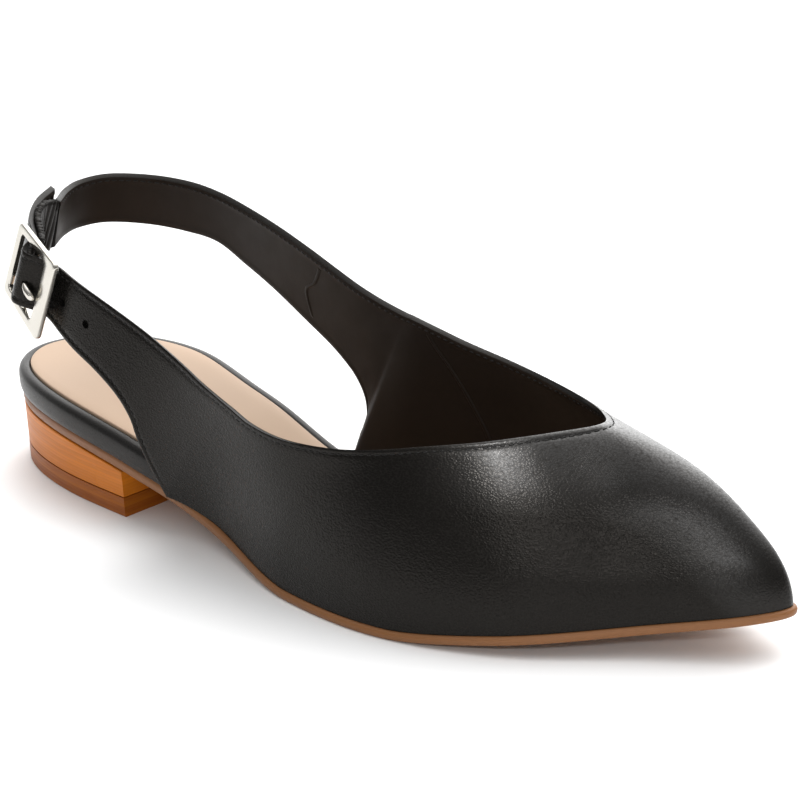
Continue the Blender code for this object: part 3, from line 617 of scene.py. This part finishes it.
SLAB_THICKNESS = 5.8 * MM
SOLE_EDGE = (
    # out from the outline in mm, share of the height
    (-1.0, 1.0), (-0.55, 0.93), (-0.15, 0.78), (0.0, 0.58), (0.0, 0.38), (-0.10, 0.22), (-0.30, 0.08),
    (-0.7, 0.0),
)
BLOCK_EDGE = ((-0.35, 1.0), (-0.15, 0.98), (-0.15, 0.015), (-0.25, 0.0))
SLAB_EDGE = ((-0.25, 1.0), (-0.12, 0.98), (-0.05, 0.6), (0.0, 0.10), (-0.3, 0.0))


def edge_steps(edge, low, high):
    """Steps of a layer whose edge has the same section all round, between two heights."""

    def step(out, level):
        return lambda turn: out * MM, lambda x: low(x) + (high(x) - low(x)) * level

    return [step(*row) for row in edge]


sole_steps = edge_steps(SOLE_EDGE, underside, sole_top)
layer("sole", sole_place, sole_steps, sole_tan, "outsole", "sole_edge", 60)
block_steps = edge_steps(BLOCK_EDGE, lambda x: SLAB_THICKNESS + GAP, lambda x: underside(x) - GAP)
layer("heel_stack", heel_place, block_steps, heel_wood, "heel_block", "stacked_heel")
slab_steps = edge_steps(SLAB_EDGE, lambda x: 0.0, lambda x: SLAB_THICKNESS)
layer("heel_slab", heel_place, slab_steps, top_wood, "heel_top_piece", "top_piece")

# %% [markdown]
# The footbed's board is wrapped in black leather that shows as a rounded rim behind the quarters. The
# beige sock lies inside that rim, a little lower than its crest, so a dark line parts the two.

# %% Wrapped board and sock
RIM_SECTION = (
    # share of the way in to the sock, height share, sunk
    (0.985, 0.93, 0.9), (0.97, 0.95, 0.3), (0.90, 0.985, 0.05), (0.72, 1.0, 0.0), (0.50, 1.0, 0.0),
    (0.34, 0.98, 0.0), (0.20, 0.93, 0.0), (0.10, 0.86, 0.0), (0.03, 0.75, 0.0), (0.0, 0.60, 0.0),
    (0.0, 0.30, 0.0), (0.04, 0.14, 0.0), (0.14, 0.0, 0.0),
)


def rim_step(inward, level, sunk):
    def outward(turn):
        return board_offset(turn) - inward * sock_inset(turn)

    def height(x):
        low = sole_top(x) + GAP / 2
        return low + level * (rim_top(x) - low) - sunk * MM

    return outward, height


board_steps = [rim_step(*row) for row in RIM_SECTION]
layer("wrapped_board", sole_place, board_steps, rim_black, "footbed", "black_leather", 60)

SOCK_THICKNESS, SOCK_SUNK = 1.2 * MM, 0.7 * MM
SOCK_EDGE = ((0.45, 1.0), (0.15, 0.93), (0.0, 0.75), (0.0, 0.0))


def sock_step(inset, level):
    return (
        lambda turn: board_offset(turn) - sock_inset(turn) - inset * MM,
        lambda x: rim_top(x) - SOCK_SUNK + level * SOCK_THICKNESS,
    )


layer("sock", sole_place, [sock_step(*row) for row in SOCK_EDGE], sock_beige, "insole", "sock_leather", 60)

# %% [markdown]
# The upper is one band of leather. Its tables give the topline and the lower edge, from the free end of
# the outer strap, round the toe, to the end of the inner strap. Between the two edges each column is one
# smooth curve, upright at the foot and coming over towards the throat, as leather takes on a last.

# %% Pattern of the upper
HALF_BALL, THROAT_HEIGHT, BACK_HEIGHT, STRAP_WIDTH = BALL / 2, 51 * MM, 82.8 * MM, 16 * MM
LATERAL_STRAP = (
    # edge x, edge y, edge z, width, lean x, lean y, lean z
    (0.086, -0.200, 1.034, 0.97, 0.18, 0.16, 0.97),
    (0.108, -0.462, 1.023, 0.97, 0.22, 0.16, 0.96),
    (0.139, -0.690, 0.998, 0.97, 0.27, 0.15, 0.95),
    (0.172, -0.826, 0.965, 0.97, 0.30, 0.14, 0.94),
    (0.202, -0.903, 0.936, 1.00, 0.32, 0.14, 0.94),
    (0.233, -0.929, 0.901, 1.00, 0.32, 0.14, 0.94),
)
MEDIAL_STRAP = (
    (0.188, 0.895, 0.943, 1.08, 0.27, -0.12, 0.95),
    (0.147, 0.829, 0.970, 1.08, 0.24, -0.10, 0.96),
    (0.105, 0.684, 0.989, 1.04, 0.22, -0.05, 0.97),
    (0.072, 0.434, 1.004, 1.00, 0.20, 0.00, 0.98),
    (0.061, 0.197, 1.000, 0.97, 0.19, 0.03, 0.98),
    (0.073, -0.013, 0.997, 0.95, 0.19, 0.08, 0.98),
    (0.102, -0.245, 1.000, 0.97, 0.20, 0.13, 0.97),
)
LATERAL_QUARTER = (
    # upper x, upper y, upper z, lower x, lower y, lower z
    (0.274, -0.916, 0.858, 0.254, -0.995, 0.649),
    (0.316, -0.879, 0.804, 0.288, -0.982, 0.591),
    (0.353, -0.845, 0.752, 0.316, -0.963, 0.523),
    (0.387, -0.832, 0.702, 0.330, -0.937, 0.450),
    (0.410, -0.832, 0.668, 0.333, -0.903, 0.370),
    (0.432, -0.839, 0.637, 0.339, -0.850, 0.275),
)
MEDIAL_QUARTER = (
    (0.485, 0.829, 0.695, 0.424, 0.724, 0.205),
    (0.466, 0.824, 0.708, 0.430, 0.761, 0.266),
    (0.445, 0.818, 0.725, 0.426, 0.797, 0.338),
    (0.417, 0.816, 0.751, 0.405, 0.840, 0.408),
    (0.380, 0.829, 0.788, 0.366, 0.889, 0.477),
    (0.338, 0.855, 0.827, 0.317, 0.932, 0.541),
    (0.286, 0.882, 0.872, 0.259, 0.971, 0.619),
    (0.235, 0.903, 0.909, 0.210, 0.987, 0.680),
)
VAMP = (
    # side, foot x, upper x, upper y, upper z, rise, reach, drop
    (-1, None, 0.455, -0.850, 0.994, 0.33, 0.33, 0.33),
    (-1, 0.375, 0.478, -0.862, 0.958, 0.33, 0.33, 0.33),
    (-1, 0.421, 0.511, -0.871, 0.903, 0.34, 0.34, 0.33),
    (-1, 0.481, 0.553, -0.850, 0.872, 0.36, 0.36, 0.32),
    (-1, 0.553, 0.602, -0.776, 0.875, 0.39, 0.42, 0.30),
    (-1, 0.628, 0.650, -0.658, 0.900, 0.42, 0.47, 0.28),
    (-1, 0.703, 0.695, -0.492, 0.937, 0.43, 0.50, 0.27),
    (-1, 0.774, 0.737, -0.289, 0.965, 0.42, 0.50, 0.27),
    (-1, 0.838, 0.769, -0.066, 0.986, 0.39, 0.48, 0.28),
    (-1, 0.898, 0.789, 0.132, 0.994, 0.35, 0.47, 0.29),
    (-1, 0.951, 0.801, 0.263, 0.998, 0.36, 0.49, 0.25),
    (1, 1.000, 0.806, 0.355, 1.000, 0.40, 0.56, 0.20),
    (1, 0.951, 0.799, 0.474, 0.984, 0.50, 0.62, 0.15),
    (1, 0.898, 0.778, 0.618, 0.957, 0.53, 0.62, 0.13),
    (1, 0.838, 0.752, 0.745, 0.939, 0.53, 0.56, 0.16),
    (1, 0.774, 0.714, 0.863, 0.929, 0.51, 0.50, 0.21),
    (1, 0.714, 0.665, 0.955, 0.933, 0.46, 0.44, 0.26),
    (1, 0.647, 0.613, 0.974, 0.965, 0.40, 0.38, 0.31),
    (1, 0.579, 0.564, 0.911, 1.024, 0.36, 0.35, 0.33),
    (1, 0.515, 0.530, 0.863, 1.075, 0.34, 0.33, 0.33),
    (1, 0.462, 0.508, 0.842, 1.104, 0.33, 0.33, 0.33),
    (1, None, 0.495, 0.833, 1.120, 0.33, 0.33, 0.33),
)


def unit(vector):
    return vector / np.linalg.norm(vector)


# Shares that steer a column where it has no bend of its own.
PLAIN = (0.33, 0.33, 0.33)


def band_table():
    rows = []

    def add_strap(table):
        for x, y, z, width, lean_x, lean_y, lean_z in table:
            top = np.array([x * LENGTH, y * HALF_BALL, z * BACK_HEIGHT])
            low = top - width * STRAP_WIDTH * unit(np.array([lean_x, lean_y, lean_z]))
            rows.append((top, low, PLAIN, None))

    def add_quarter(table):
        scale = np.array([LENGTH, HALF_BALL, BACK_HEIGHT])
        for row in table:
            rows.append((np.array(row[:3]) * scale, np.array(row[3:]) * scale, PLAIN, None))

    add_strap(LATERAL_STRAP)
    add_quarter(LATERAL_QUARTER)
    for side, foot_x, x, y, z, rise, reach, drop in VAMP:
        share = WINGS[side] / LENGTH if foot_x is None else foot_x
        top = np.array([x * LENGTH, y * HALF_BALL, z * THROAT_HEIGHT])
        rows.append((top, None, (rise, reach, drop), turn_at(share, side)))
    add_quarter(MEDIAL_QUARTER)
    add_strap(MEDIAL_STRAP)
    return rows


ROWS = band_table()
FIRST_FOOT = len(LATERAL_STRAP) + len(LATERAL_QUARTER)
LAST_FOOT = FIRST_FOOT + len(VAMP) - 1
LAST_ROW = len(ROWS) - 1
PLACES = range(len(ROWS))
TOPS = [row[0] for row in ROWS]
SECTIONS = [row[2] for row in ROWS]
FOOT_TURNS = [row[3] for row in ROWS[FIRST_FOOT:LAST_FOOT + 1]]


def foot_point(turn):
    x, y = outline(turn, foot_offset(turn))
    return np.array([x, y, sole_top(x) + GAP / 2])


OUTER_LOWS = [row[1] for row in ROWS[:FIRST_FOOT]] + [foot_point(FOOT_TURNS[0])]
INNER_LOWS = [foot_point(FOOT_TURNS[-1])] + [row[1] for row in ROWS[LAST_FOOT + 1:]]


def lower_edge(row):
    if row < FIRST_FOOT:
        return smooth(range(FIRST_FOOT + 1), OUTER_LOWS, row)
    if row > LAST_FOOT:
        return smooth(range(LAST_FOOT, LAST_ROW + 1), INNER_LOWS, row)
    return foot_point(float(smooth(range(FIRST_FOOT, LAST_FOOT + 1), FOOT_TURNS, row)))


def column_curve(row):
    """The four points that steer one column of the band."""
    top = smooth(PLACES, TOPS, row)
    rise, reach, drop = smooth(PLACES, SECTIONS, row)
    low = lower_edge(row)
    standing = blend(FIRST_FOOT, FIRST_FOOT + 4, row) * (1 - blend(LAST_FOOT - 4, LAST_FOOT, row))
    slanted = low + rise * (top - low)
    upright = low + rise * np.array([0, 0, top[2] - low[2]])
    first = slanted + (upright - slanted) * standing
    second = np.array([
        top[0] + (low[0] - top[0]) * reach,
        top[1] + (low[1] - top[1]) * reach,
        top[2] - (top[2] - low[2]) * drop,
    ])
    return low, first, second, top


def on_curve(curve, t):
    low, first, second, top = curve
    return low * (1 - t) ** 3 + 3 * first * t * (1 - t) ** 2 + 3 * second * t**2 * (1 - t) + top * t**3


def band_point(row, share):
    return on_curve(column_curve(row), share)


def band_frame(row, share=0.5):
    """Point of the band with the directions along it, up across it and out of it."""
    row = min(max(row, 0.1), LAST_ROW - 0.1)
    middle = band_point(row, share)
    ahead = unit(band_point(row + 0.1, share) - band_point(row - 0.1, share))
    across = band_point(row, min(1.0, share + 0.03)) - band_point(row, max(0.0, share - 0.03))
    across = unit(across - ahead * np.dot(across, ahead))
    return middle, ahead, across, np.cross(ahead, across)


BUCKLE_ROW, BUCKLE_LENGTH, STRAP_BULGE, STRAP_TUCK = 3.85, 24 * MM, 5.4 * MM, 0.9 * MM
BUCKLE_MIDDLE, BUCKLE_AHEAD, BUCKLE_ACROSS, BUCKLE_OUT = band_frame(BUCKLE_ROW)


def strap_lift(row):
    """How far the outer strap stands off its path: over the pin, and tucked under the bars."""
    along = float(np.dot(band_point(row, 0.5) - BUCKLE_MIDDLE, BUCKLE_AHEAD))
    over = math.exp(-((along / ((0.19 if along > 0 else 0.25) * BUCKLE_LENGTH)) ** 2))
    tuck = math.exp(-((along / (0.62 * BUCKLE_LENGTH)) ** 4))
    return over * (STRAP_BULGE + STRAP_TUCK) - tuck * STRAP_TUCK


def row_at(distance):
    """Row that lies a distance along the outer strap from the buckle's middle, toward the toe."""
    step = 0.02 if distance > 0 else -0.02
    row, gone, here = BUCKLE_ROW, 0.0, BUCKLE_MIDDLE
    while gone < abs(distance) and 0 < row + step < FIRST_FOOT:
        row += step
        there = band_point(row, 0.5)
        gone += np.linalg.norm(there - here)
        here = there
    return row


print("upper pattern:", LAST_ROW + 1, "rows")

# %% [markdown]
# The edges of the leather are folded back and stitched down, so along every edge the band is a little
# thicker, with a shallow channel where the thread pulls it in. The grid has closer lines there to carry
# that relief. A Solidify wall gives the lining inside, and a small bevel rounds the fold.

# %% The upper
EDGE_LINES = np.array((0.0, 0.30, 0.65, 1.05, 1.35, 1.58, 1.80, 2.05, 2.6, 3.8)) * MM
EDGE_RELIEF = np.array((-0.12, 0.02, 0.08, 0.08, 0.02, -0.13, -0.15, -0.09, 0.0, 0.0)) * MM
MIDDLE_LINES = 26
STITCH_INSET = 1.69 * MM
VAMP_RELIEF = (
    # height, share up the column, spread up it, spread along in rows
    (-0.40 * MM, 0.40, 0.13, 3.2),
    (0.35 * MM, 0.66, 0.12, 3.6),
)


def column_stations():
    """Rows of the grid's columns, closer together where the band bends sharply."""
    stations = []
    for k in range(LAST_ROW):
        steps = 18 if 2 <= k <= 5 else 10
        stations += [k + s / steps for s in range(steps)]
    return stations + [LAST_ROW]


STATIONS = column_stations()
COLUMN_LINES = 2 * len(EDGE_LINES) + MIDDLE_LINES


def column_length(curve):
    points = [on_curve(curve, t) for t in np.linspace(0, 1, 13)]
    return sum(np.linalg.norm(b - a) for a, b in zip(points[:-1], points[1:]))


def column_layout(length, free_edge):
    """Heights up a column, from the lower edge, with the relief of the folded edges at each."""
    low = EDGE_LINES * min(1.0, 0.42 * length / EDGE_LINES[-1])
    top = length - low[::-1]
    middle = np.linspace(low[-1], top[0], MIDDLE_LINES + 2)[1:-1]
    relief = np.concatenate([EDGE_RELIEF * free_edge, np.zeros(MIDDLE_LINES), EDGE_RELIEF[::-1]])
    return np.concatenate([low, middle, top]) / length, relief


def vamp_relief(row, share):
    """Soft relief of the vamp near the toe: a hollow with a ridge above it."""
    from_toe = row - (FIRST_FOOT + LAST_FOOT) / 2
    return sum(
        height * math.exp(-((from_toe / along) ** 2) - ((share - place) / across) ** 2)
        for height, place, across, along in VAMP_RELIEF
    )


def thicken(made, thickness, offset):
    wall = made.modifiers.new("wall", "SOLIDIFY")
    wall.thickness, wall.offset = thickness, offset
    return wall


sheet = np.zeros((len(STATIONS), COLUMN_LINES, 3))
raised = np.zeros((len(STATIONS), COLUMN_LINES))
travelled = 0.0
for k, row in enumerate(STATIONS):
    curve = column_curve(row)
    length = column_length(curve)
    on_sole = blend(FIRST_FOOT - 1.0, FIRST_FOOT, row) * (1 - blend(LAST_FOOT, LAST_FOOT + 1.0, row))
    shares, relief = column_layout(length, 1.0 - on_sole)
    lift = strap_lift(row) if row < len(LATERAL_STRAP) + 1 else 0.0
    sheet[k] = [on_curve(curve, share) for share in shares]
    raised[k] = [lift + extra + vamp_relief(row, share) for share, extra in zip(shares, relief)]
    if k:
        travelled += float(np.linalg.norm(sheet[k, COLUMN_LINES // 2] - sheet[k - 1, COLUMN_LINES // 2]))
outward = np.cross(np.gradient(sheet, axis=0), np.gradient(sheet, axis=1))
outward /= np.linalg.norm(outward, axis=2, keepdims=True)
sheet += outward * raised[:, :, None]

bm = bmesh.new()
bmesh.ops.create_grid(bm, x_segments=len(STATIONS) - 1, y_segments=COLUMN_LINES - 1, size=0.5)
for vert in bm.verts:
    column = round((vert.co.x + 0.5) * (len(STATIONS) - 1))
    vert.co = sheet[column, round((vert.co.y + 0.5) * (COLUMN_LINES - 1))]
bmesh.ops.recalc_face_normals(bm, faces=bm.faces)
upper = finished("leather_upper", bm, [black, lining, edge_black], "upper", "black_leather")
wall = thicken(upper, UPPER_WALL, -1)
wall.material_offset = 1
wall.material_offset_rim = 2
fold = upper.modifiers.new("fold", "BEVEL")
fold.width = 0.45 * MM
fold.segments = 3
fold.limit_method = "ANGLE"
fold.angle_limit = math.radians(65)
print("upper wall", round(UPPER_WALL / MM, 1), "mm, band", round(travelled / MM), "mm long")

# %% [markdown]
# The lining is pieced. Where two of its pieces meet, a narrow welt stands a little off the inner face, and
# it shows through the throat as a faint line. Each welt is a strip laid along the inner face of the wall.

# %% Seams of the lining
SEAM_WIDTH, SEAM_HEIGHT, SEAM_SUNK, SEAM_LEATHER = 1.5 * MM, 0.24 * MM, 0.05 * MM, 0.1 * MM
SEAMS = (
    # rows and heights that each seam passes
    ((31.5, 0.96), (30.4, 0.80), (29.8, 0.55), (29.6, 0.25)),
    ((38.5, 0.88), (38.7, 0.65), (39.0, 0.45), (38.8, 0.15)),
)
bm = bmesh.new()
for seam in SEAMS:
    strip = bmesh.ops.create_grid(bm, x_segments=40, y_segments=6, size=0.5)
    for vert in strip["verts"]:
        row, share = smooth(range(len(seam)), seam, (vert.co.x + 0.5) * (len(seam) - 1))
        middle, ahead, _, out = band_frame(row, share)
        side, fade = vert.co.y * 2, 1 - (2 * vert.co.x) ** 8
        depth = UPPER_WALL + SEAM_HEIGHT * (1 - side**2) * fade - SEAM_SUNK
        vert.co = middle - out * depth + ahead * side * SEAM_WIDTH / 2
bmesh.ops.recalc_face_normals(bm, faces=bm.faces)
welts = finished("lining_seams", bm, [lining], None, "black_leather", 80)
thicken(welts, SEAM_LEATHER, 0)

# %% [markdown]
# The buckle is a flat frame with one wide bar at the front. It is drawn as two rounded rectangles that
# are bridged into a ring, thickened and bevelled. The prong turns on a pin behind the strap, comes up
# through a punched hole and hooks down short of the wide bar. It is a rod that swells toward its tip.

# %% Buckle
BUCKLE_HEIGHT, BUCKLE_THICKNESS, FRONT_BAR, OTHER_BARS = 23.6 * MM, 1.7 * MM, 6.0 * MM, 2.6 * MM
BUCKLE_CORNER, BUCKLE_DROP, BUCKLE_TAPER, BUCKLE_ROUND = 2.0 * MM, 1.0 * MM, 0.05, 0.42 * MM
BUCKLE_END, INNER_CORNER = 0.8 * MM, 0.7 * BUCKLE_CORNER
PRONG_DIAMETER, LOOP_LAYER, LOOP_WIDTH = 1.8 * MM, 0.8 * MM, 15.5 * MM

BUCKLE_PLACE = placed(
    BUCKLE_MIDDLE + BUCKLE_OUT * (BUCKLE_THICKNESS / 2 + GAP) - BUCKLE_ACROSS * BUCKLE_DROP,
    BUCKLE_AHEAD, BUCKLE_ACROSS, BUCKLE_OUT,
)


def rounded_border(bm, left, right, half_height, corner):
    """Edges of a rounded rectangle, all with the same number of points."""
    made = bmesh.ops.create_grid(bm, x_segments=1, y_segments=1, size=1.0)
    for vert in made["verts"]:
        vert.co = (right if vert.co.x > 0 else left, math.copysign(half_height, vert.co.y), 0)
    rounded = bmesh.ops.bevel(
        bm, geom=made["verts"], offset=corner, offset_type="OFFSET", segments=6, profile=0.5,
        affect="VERTICES", material=-1,
    )
    faces = {f for vert in rounded["verts"] for f in vert.link_faces if len(f.verts) > 8}
    edges = [edge for f in faces for edge in f.edges]
    bmesh.ops.delete(bm, geom=list(faces), context="FACES_ONLY")
    return edges


bm = bmesh.new()
half_length, half_height = BUCKLE_LENGTH / 2 + BUCKLE_END, BUCKLE_HEIGHT / 2
outside = rounded_border(bm, -half_length, half_length, half_height, BUCKLE_CORNER)
inside = rounded_border(
    bm, OTHER_BARS - half_length, half_length - FRONT_BAR, half_height - OTHER_BARS, INNER_CORNER
)
bmesh.ops.bridge_loops(bm, edges=outside + inside)
grown = bmesh.ops.extrude_face_region(bm, geom=list(bm.faces))["geom"]
raised = [part for part in grown if isinstance(part, bmesh.types.BMVert)]
bmesh.ops.translate(bm, verts=raised, vec=(0, 0, BUCKLE_THICKNESS))
bmesh.ops.translate(bm, verts=bm.verts, vec=(0, 0, -BUCKLE_THICKNESS / 2))
for vert in bm.verts:
    vert.co.y *= 1 + BUCKLE_TAPER * vert.co.x / half_length
bmesh.ops.recalc_face_normals(bm, faces=bm.faces)
rims = [edge for edge in bm.edges if edge.calc_face_angle(0.0) > math.radians(60)]
bmesh.ops.bevel(
    bm, geom=rims, offset=BUCKLE_ROUND, offset_type="OFFSET", segments=4, profile=0.5, affect="EDGES",
    material=-1,
)
bmesh.ops.transform(bm, matrix=BUCKLE_PLACE, verts=bm.verts)
finished("frame_of_buckle", bm, [metal], "buckle_frame", "buckle_metal", 50)


def rod(name, points, radii):
    """Smooth round rod through points, with its own radius at each."""
    curve = bpy.data.curves.new(name, "CURVE")
    curve.dimensions = "3D"
    curve.bevel_depth = 1.0
    curve.bevel_resolution = 5
    curve.use_fill_caps = True
    line = curve.splines.new("POLY")
    steps = 40
    line.points.add(steps)
    for k in range(steps + 1):
        at = (len(points) - 1) * k / steps
        line.points[k].co = (*smooth(range(len(points)), points, at), 1)
        line.points[k].radius = float(smooth(range(len(radii)), radii, at))
    drawn = bpy.data.objects.new(name, curve)
    scene.collection.objects.link(drawn)
    mesh = bpy.data.meshes.new_from_object(drawn.evaluated_get(bpy.context.evaluated_depsgraph_get()))
    bpy.data.objects.remove(drawn)
    made = bmesh.new()
    made.from_mesh(mesh)
    bpy.data.meshes.remove(mesh)
    bmesh.ops.remove_doubles(made, verts=made.verts, dist=1e-6)
    bmesh.ops.recalc_face_normals(made, faces=made.faces)
    return made


PRONG_PATH = np.array((
    (0.6, 0.0, 1.4), (1.7, 0.0, 2.2), (2.8, -0.2, 2.75), (3.8, -0.6, 2.8),
    (4.8, -1.2, 2.5), (5.8, -1.9, 1.9), (6.5, -2.4, 1.3), (6.75, -2.6, 1.05),
)) * MM
PRONG_RADII = np.array((0.75, 0.78, 0.85, 1.0, 1.15, 1.15, 0.75, 0.15)) * MM
bm = rod("prong", PRONG_PATH, PRONG_RADII)
bmesh.ops.transform(bm, matrix=BUCKLE_PLACE, verts=bm.verts)
finished("prong_of_buckle", bm, [metal], "buckle_prong", "buckle_metal", 60)

for slot_of_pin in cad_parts["buckle_pin"].material_slots:
    slot_of_pin.material = metal.material
print("buckle", round(BUCKLE_LENGTH / MM, 1), "by", round(BUCKLE_HEIGHT / MM, 1), "mm")

# %% [markdown]
# Three holes are punched in the outer strap: one holds the prong, two are spare and closed by the lining
# behind them. Round cutters are taken away from the finished wall, so each hole has real depth.

# %% Punched holes
HOLE_DIAMETER, HOLE_PITCH, HOLE_DEPTH, PUNCH_LENGTH = 2.4 * MM, 10.5 * MM, 1.2 * MM, 12 * MM
PRONG_HOLE, PRONG_SLACK = (2.9 * MM, -0.1 * MM), 0.35 * MM
SHIFT = Matrix.Translation((-HEEL_DEPTH / 2, 0, 0))
punches = []
for number in range(3):
    size = HOLE_DIAMETER / 2 if number else PRONG_DIAMETER / 2 + PRONG_SLACK
    bm = bmesh.new()
    bmesh.ops.create_cone(bm, cap_ends=True, segments=28, radius1=size, radius2=size, depth=PUNCH_LENGTH)
    if number:
        row = row_at(number * HOLE_PITCH + 0.15 * BUCKLE_LENGTH)
        middle, ahead, across, out = band_frame(row)
        end = strap_lift(row) + PUNCH_LENGTH / 2 - HOLE_DEPTH
        turned = placed(middle + out * end, ahead, across, out)
    else:
        turned = BUCKLE_PLACE @ Matrix.Translation((*PRONG_HOLE, STRAP_BULGE / 2 + GAP))
    bmesh.ops.transform(bm, matrix=SHIFT @ turned, verts=bm.verts)
    punch = as_object(f"punch_{number}", bm)
    cut = upper.modifiers.new("hole", "BOOLEAN")
    cut.operation = "DIFFERENCE"
    cut.solver = "EXACT"
    cut.object = punch
    punches.append(punch)
whole = bpy.data.meshes.new_from_object(upper.evaluated_get(bpy.context.evaluated_depsgraph_get()))
upper.modifiers.clear()
plain_mesh, upper.data = upper.data, whole
bpy.data.meshes.remove(plain_mesh)
for punch in punches:
    bpy.data.objects.remove(punch)
print("upper after punching:", len(whole.polygons), "faces")

# %% [markdown]
# Between the buckle's pin and the inner strap runs a short gathered piece of elastic under leather. Its
# folds stand across its length and its edges are frilled. A sheet follows the same path as the solid,
# its points are raised in folds, and a wall is added behind it.

# %% Gathered loop
FOLD_PITCH, FOLD_HEIGHT, FRILL, LOOP_HEM = 1.7 * MM, 0.42 * MM, 0.25 * MM, 0.3 * MM


def loop_path():
    points = []
    front, near, over, behind = (row_at(share * BUCKLE_LENGTH) for share in (0.19, 0.10, -0.20, -0.38))
    for row, spare in ((front, 1), (near, 1), (BUCKLE_ROW, 1), (over, 5), (behind, 3), (1.7, 2), (1.0, 2)):
        middle, _, _, out = band_frame(row)
        points.append(middle + out * (strap_lift(row) - UPPER_WALL - spare * GAP - LOOP_LAYER))
    _, ahead, across, out = band_frame(LAST_ROW - 0.1)
    points.append(band_point(LAST_ROW, 0.5) + ahead * 4 * GAP - out * UPPER_WALL / 2)
    return points, across


path, across_end = loop_path()
LOOP_STEPS, LOOP_LINES = 150, 12


def on_path(at):
    return smooth(range(len(path)), path, min(max(at, 0), len(path) - 1))


bm = bmesh.new()
bmesh.ops.create_grid(bm, x_segments=LOOP_STEPS, y_segments=LOOP_LINES, size=0.5)
stations = []
gone, before = 0.0, path[0]
for k in range(LOOP_STEPS + 1):
    at = (len(path) - 1) * k / LOOP_STEPS
    here = on_path(at)
    along = unit(on_path(at + 0.05) - on_path(at - 0.05))
    across = BUCKLE_ACROSS + (across_end - BUCKLE_ACROSS) * k / LOOP_STEPS
    across = unit(across - along * np.dot(across, along))
    gone += float(np.linalg.norm(here - before))
    before = here
    stations.append((here, across, np.cross(across, along), gone))
for vert in bm.verts:
    here, across, out, gone = stations[round((vert.co.x + 0.5) * LOOP_STEPS)]
    side = vert.co.y * 2
    frill = FRILL * math.sin(gone / FOLD_PITCH * 4 * math.pi) * abs(side) ** 4
    waver = 0.5 * math.sin(side * 2.2 + gone / MM)
    fold = abs(math.sin(gone / FOLD_PITCH * math.pi + waver)) ** 0.7
    vert.co = here + across * (side * (LOOP_WIDTH / 2 - LOOP_HEM) + frill) + out * (fold * FOLD_HEIGHT)
bmesh.ops.recalc_face_normals(bm, faces=bm.faces)
gathered = finished("gathered_loop", bm, [edge_black], "buckle_loop", "black_leather", 80)
thicken(gathered, 2 * LOOP_LAYER, 0)
print("gathered loop", round(gone / MM, 1), "mm long")

# %% [markdown]
# The thread is waxed black, so it is seen only as a row of tiny glints in its channel. Each stitch is
# a small bead, 1.6 mm long, laid along the channel at an even pitch.

# %% Stitches
STITCH_PITCH, STITCH_SIZE = 2.15 * MM, (0.80 * MM, 0.21 * MM, 0.19 * MM)
OUTER_DEPTH, INNER_DEPTH = 0.10 * MM, UPPER_WALL + 0.17 * MM
thread = Finish("waxed_thread", (0.007, 0.0062, 0.0056), 0.38, Specular_IOR_Level=0.25)
thread.feed("Roughness", thread.noise(3000.0, 2.0) * 0.2 + 0.30)


def channel(inset_from_top, stations, inside=False):
    """Points of the stitching channel with the outward direction at each."""
    line = []
    for row in stations:
        curve = column_curve(row)
        length = column_length(curve)
        share = 1 - STITCH_INSET / length if inset_from_top else STITCH_INSET / length
        out = band_frame(row, share)[3]
        lift = strap_lift(row) if row < len(LATERAL_STRAP) + 1 else 0.0
        depth = INNER_DEPTH if inside else OUTER_DEPTH
        line.append((on_curve(curve, share) + out * (lift - depth), out))
    return line


def sew(bm, line):
    """Lay beads along a line at an even pitch, and say how many."""
    points, outs = (np.array(part) for part in zip(*line))
    steps = np.linalg.norm(np.diff(points, axis=0), axis=1)
    travelled = np.concatenate([[0.0], np.cumsum(steps)])
    count = int(travelled[-1] / STITCH_PITCH)

    def between(values, distance):
        return np.array([np.interp(distance, travelled, values[:, axis]) for axis in range(3)])

    for k in range(1, count):
        at = k * STITCH_PITCH
        here = between(points, at)
        along = unit(between(points, at + 0.5 * MM) - here)
        across = unit(np.cross(unit(between(outs, at)), along))
        turned = placed(here, along, across, np.cross(along, across))
        size = Matrix.Diagonal((*STITCH_SIZE, 1))
        bmesh.ops.create_uvsphere(bm, u_segments=6, v_segments=4, radius=1.0, matrix=turned @ size)
    return count - 1


bm = bmesh.new()
sewn = sew(bm, channel(True, STATIONS))
sewn += sew(bm, channel(False, [row for row in STATIONS if row <= FIRST_FOOT - 1.2]))
sewn += sew(bm, channel(False, [row for row in STATIONS if row >= LAST_FOOT + 1.2]))
sewn += sew(bm, channel(True, [row for row in STATIONS if row > FIRST_FOOT], inside=True))
finished("stitches", bm, [thread], None, "black_leather", 80)
print("stitches:", sewn)

# %% [markdown]
# The last cell prints both boxes, the solids' and the dressed model's, so their sizes can be compared.

# %% Sizes
dressed_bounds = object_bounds()
for name, (low, high) in (("solids", cad_bounds), ("dressed", dressed_bounds)):
    print(name, [round((b - a) / MM, 1) for a, b in zip(low, high)], "mm")
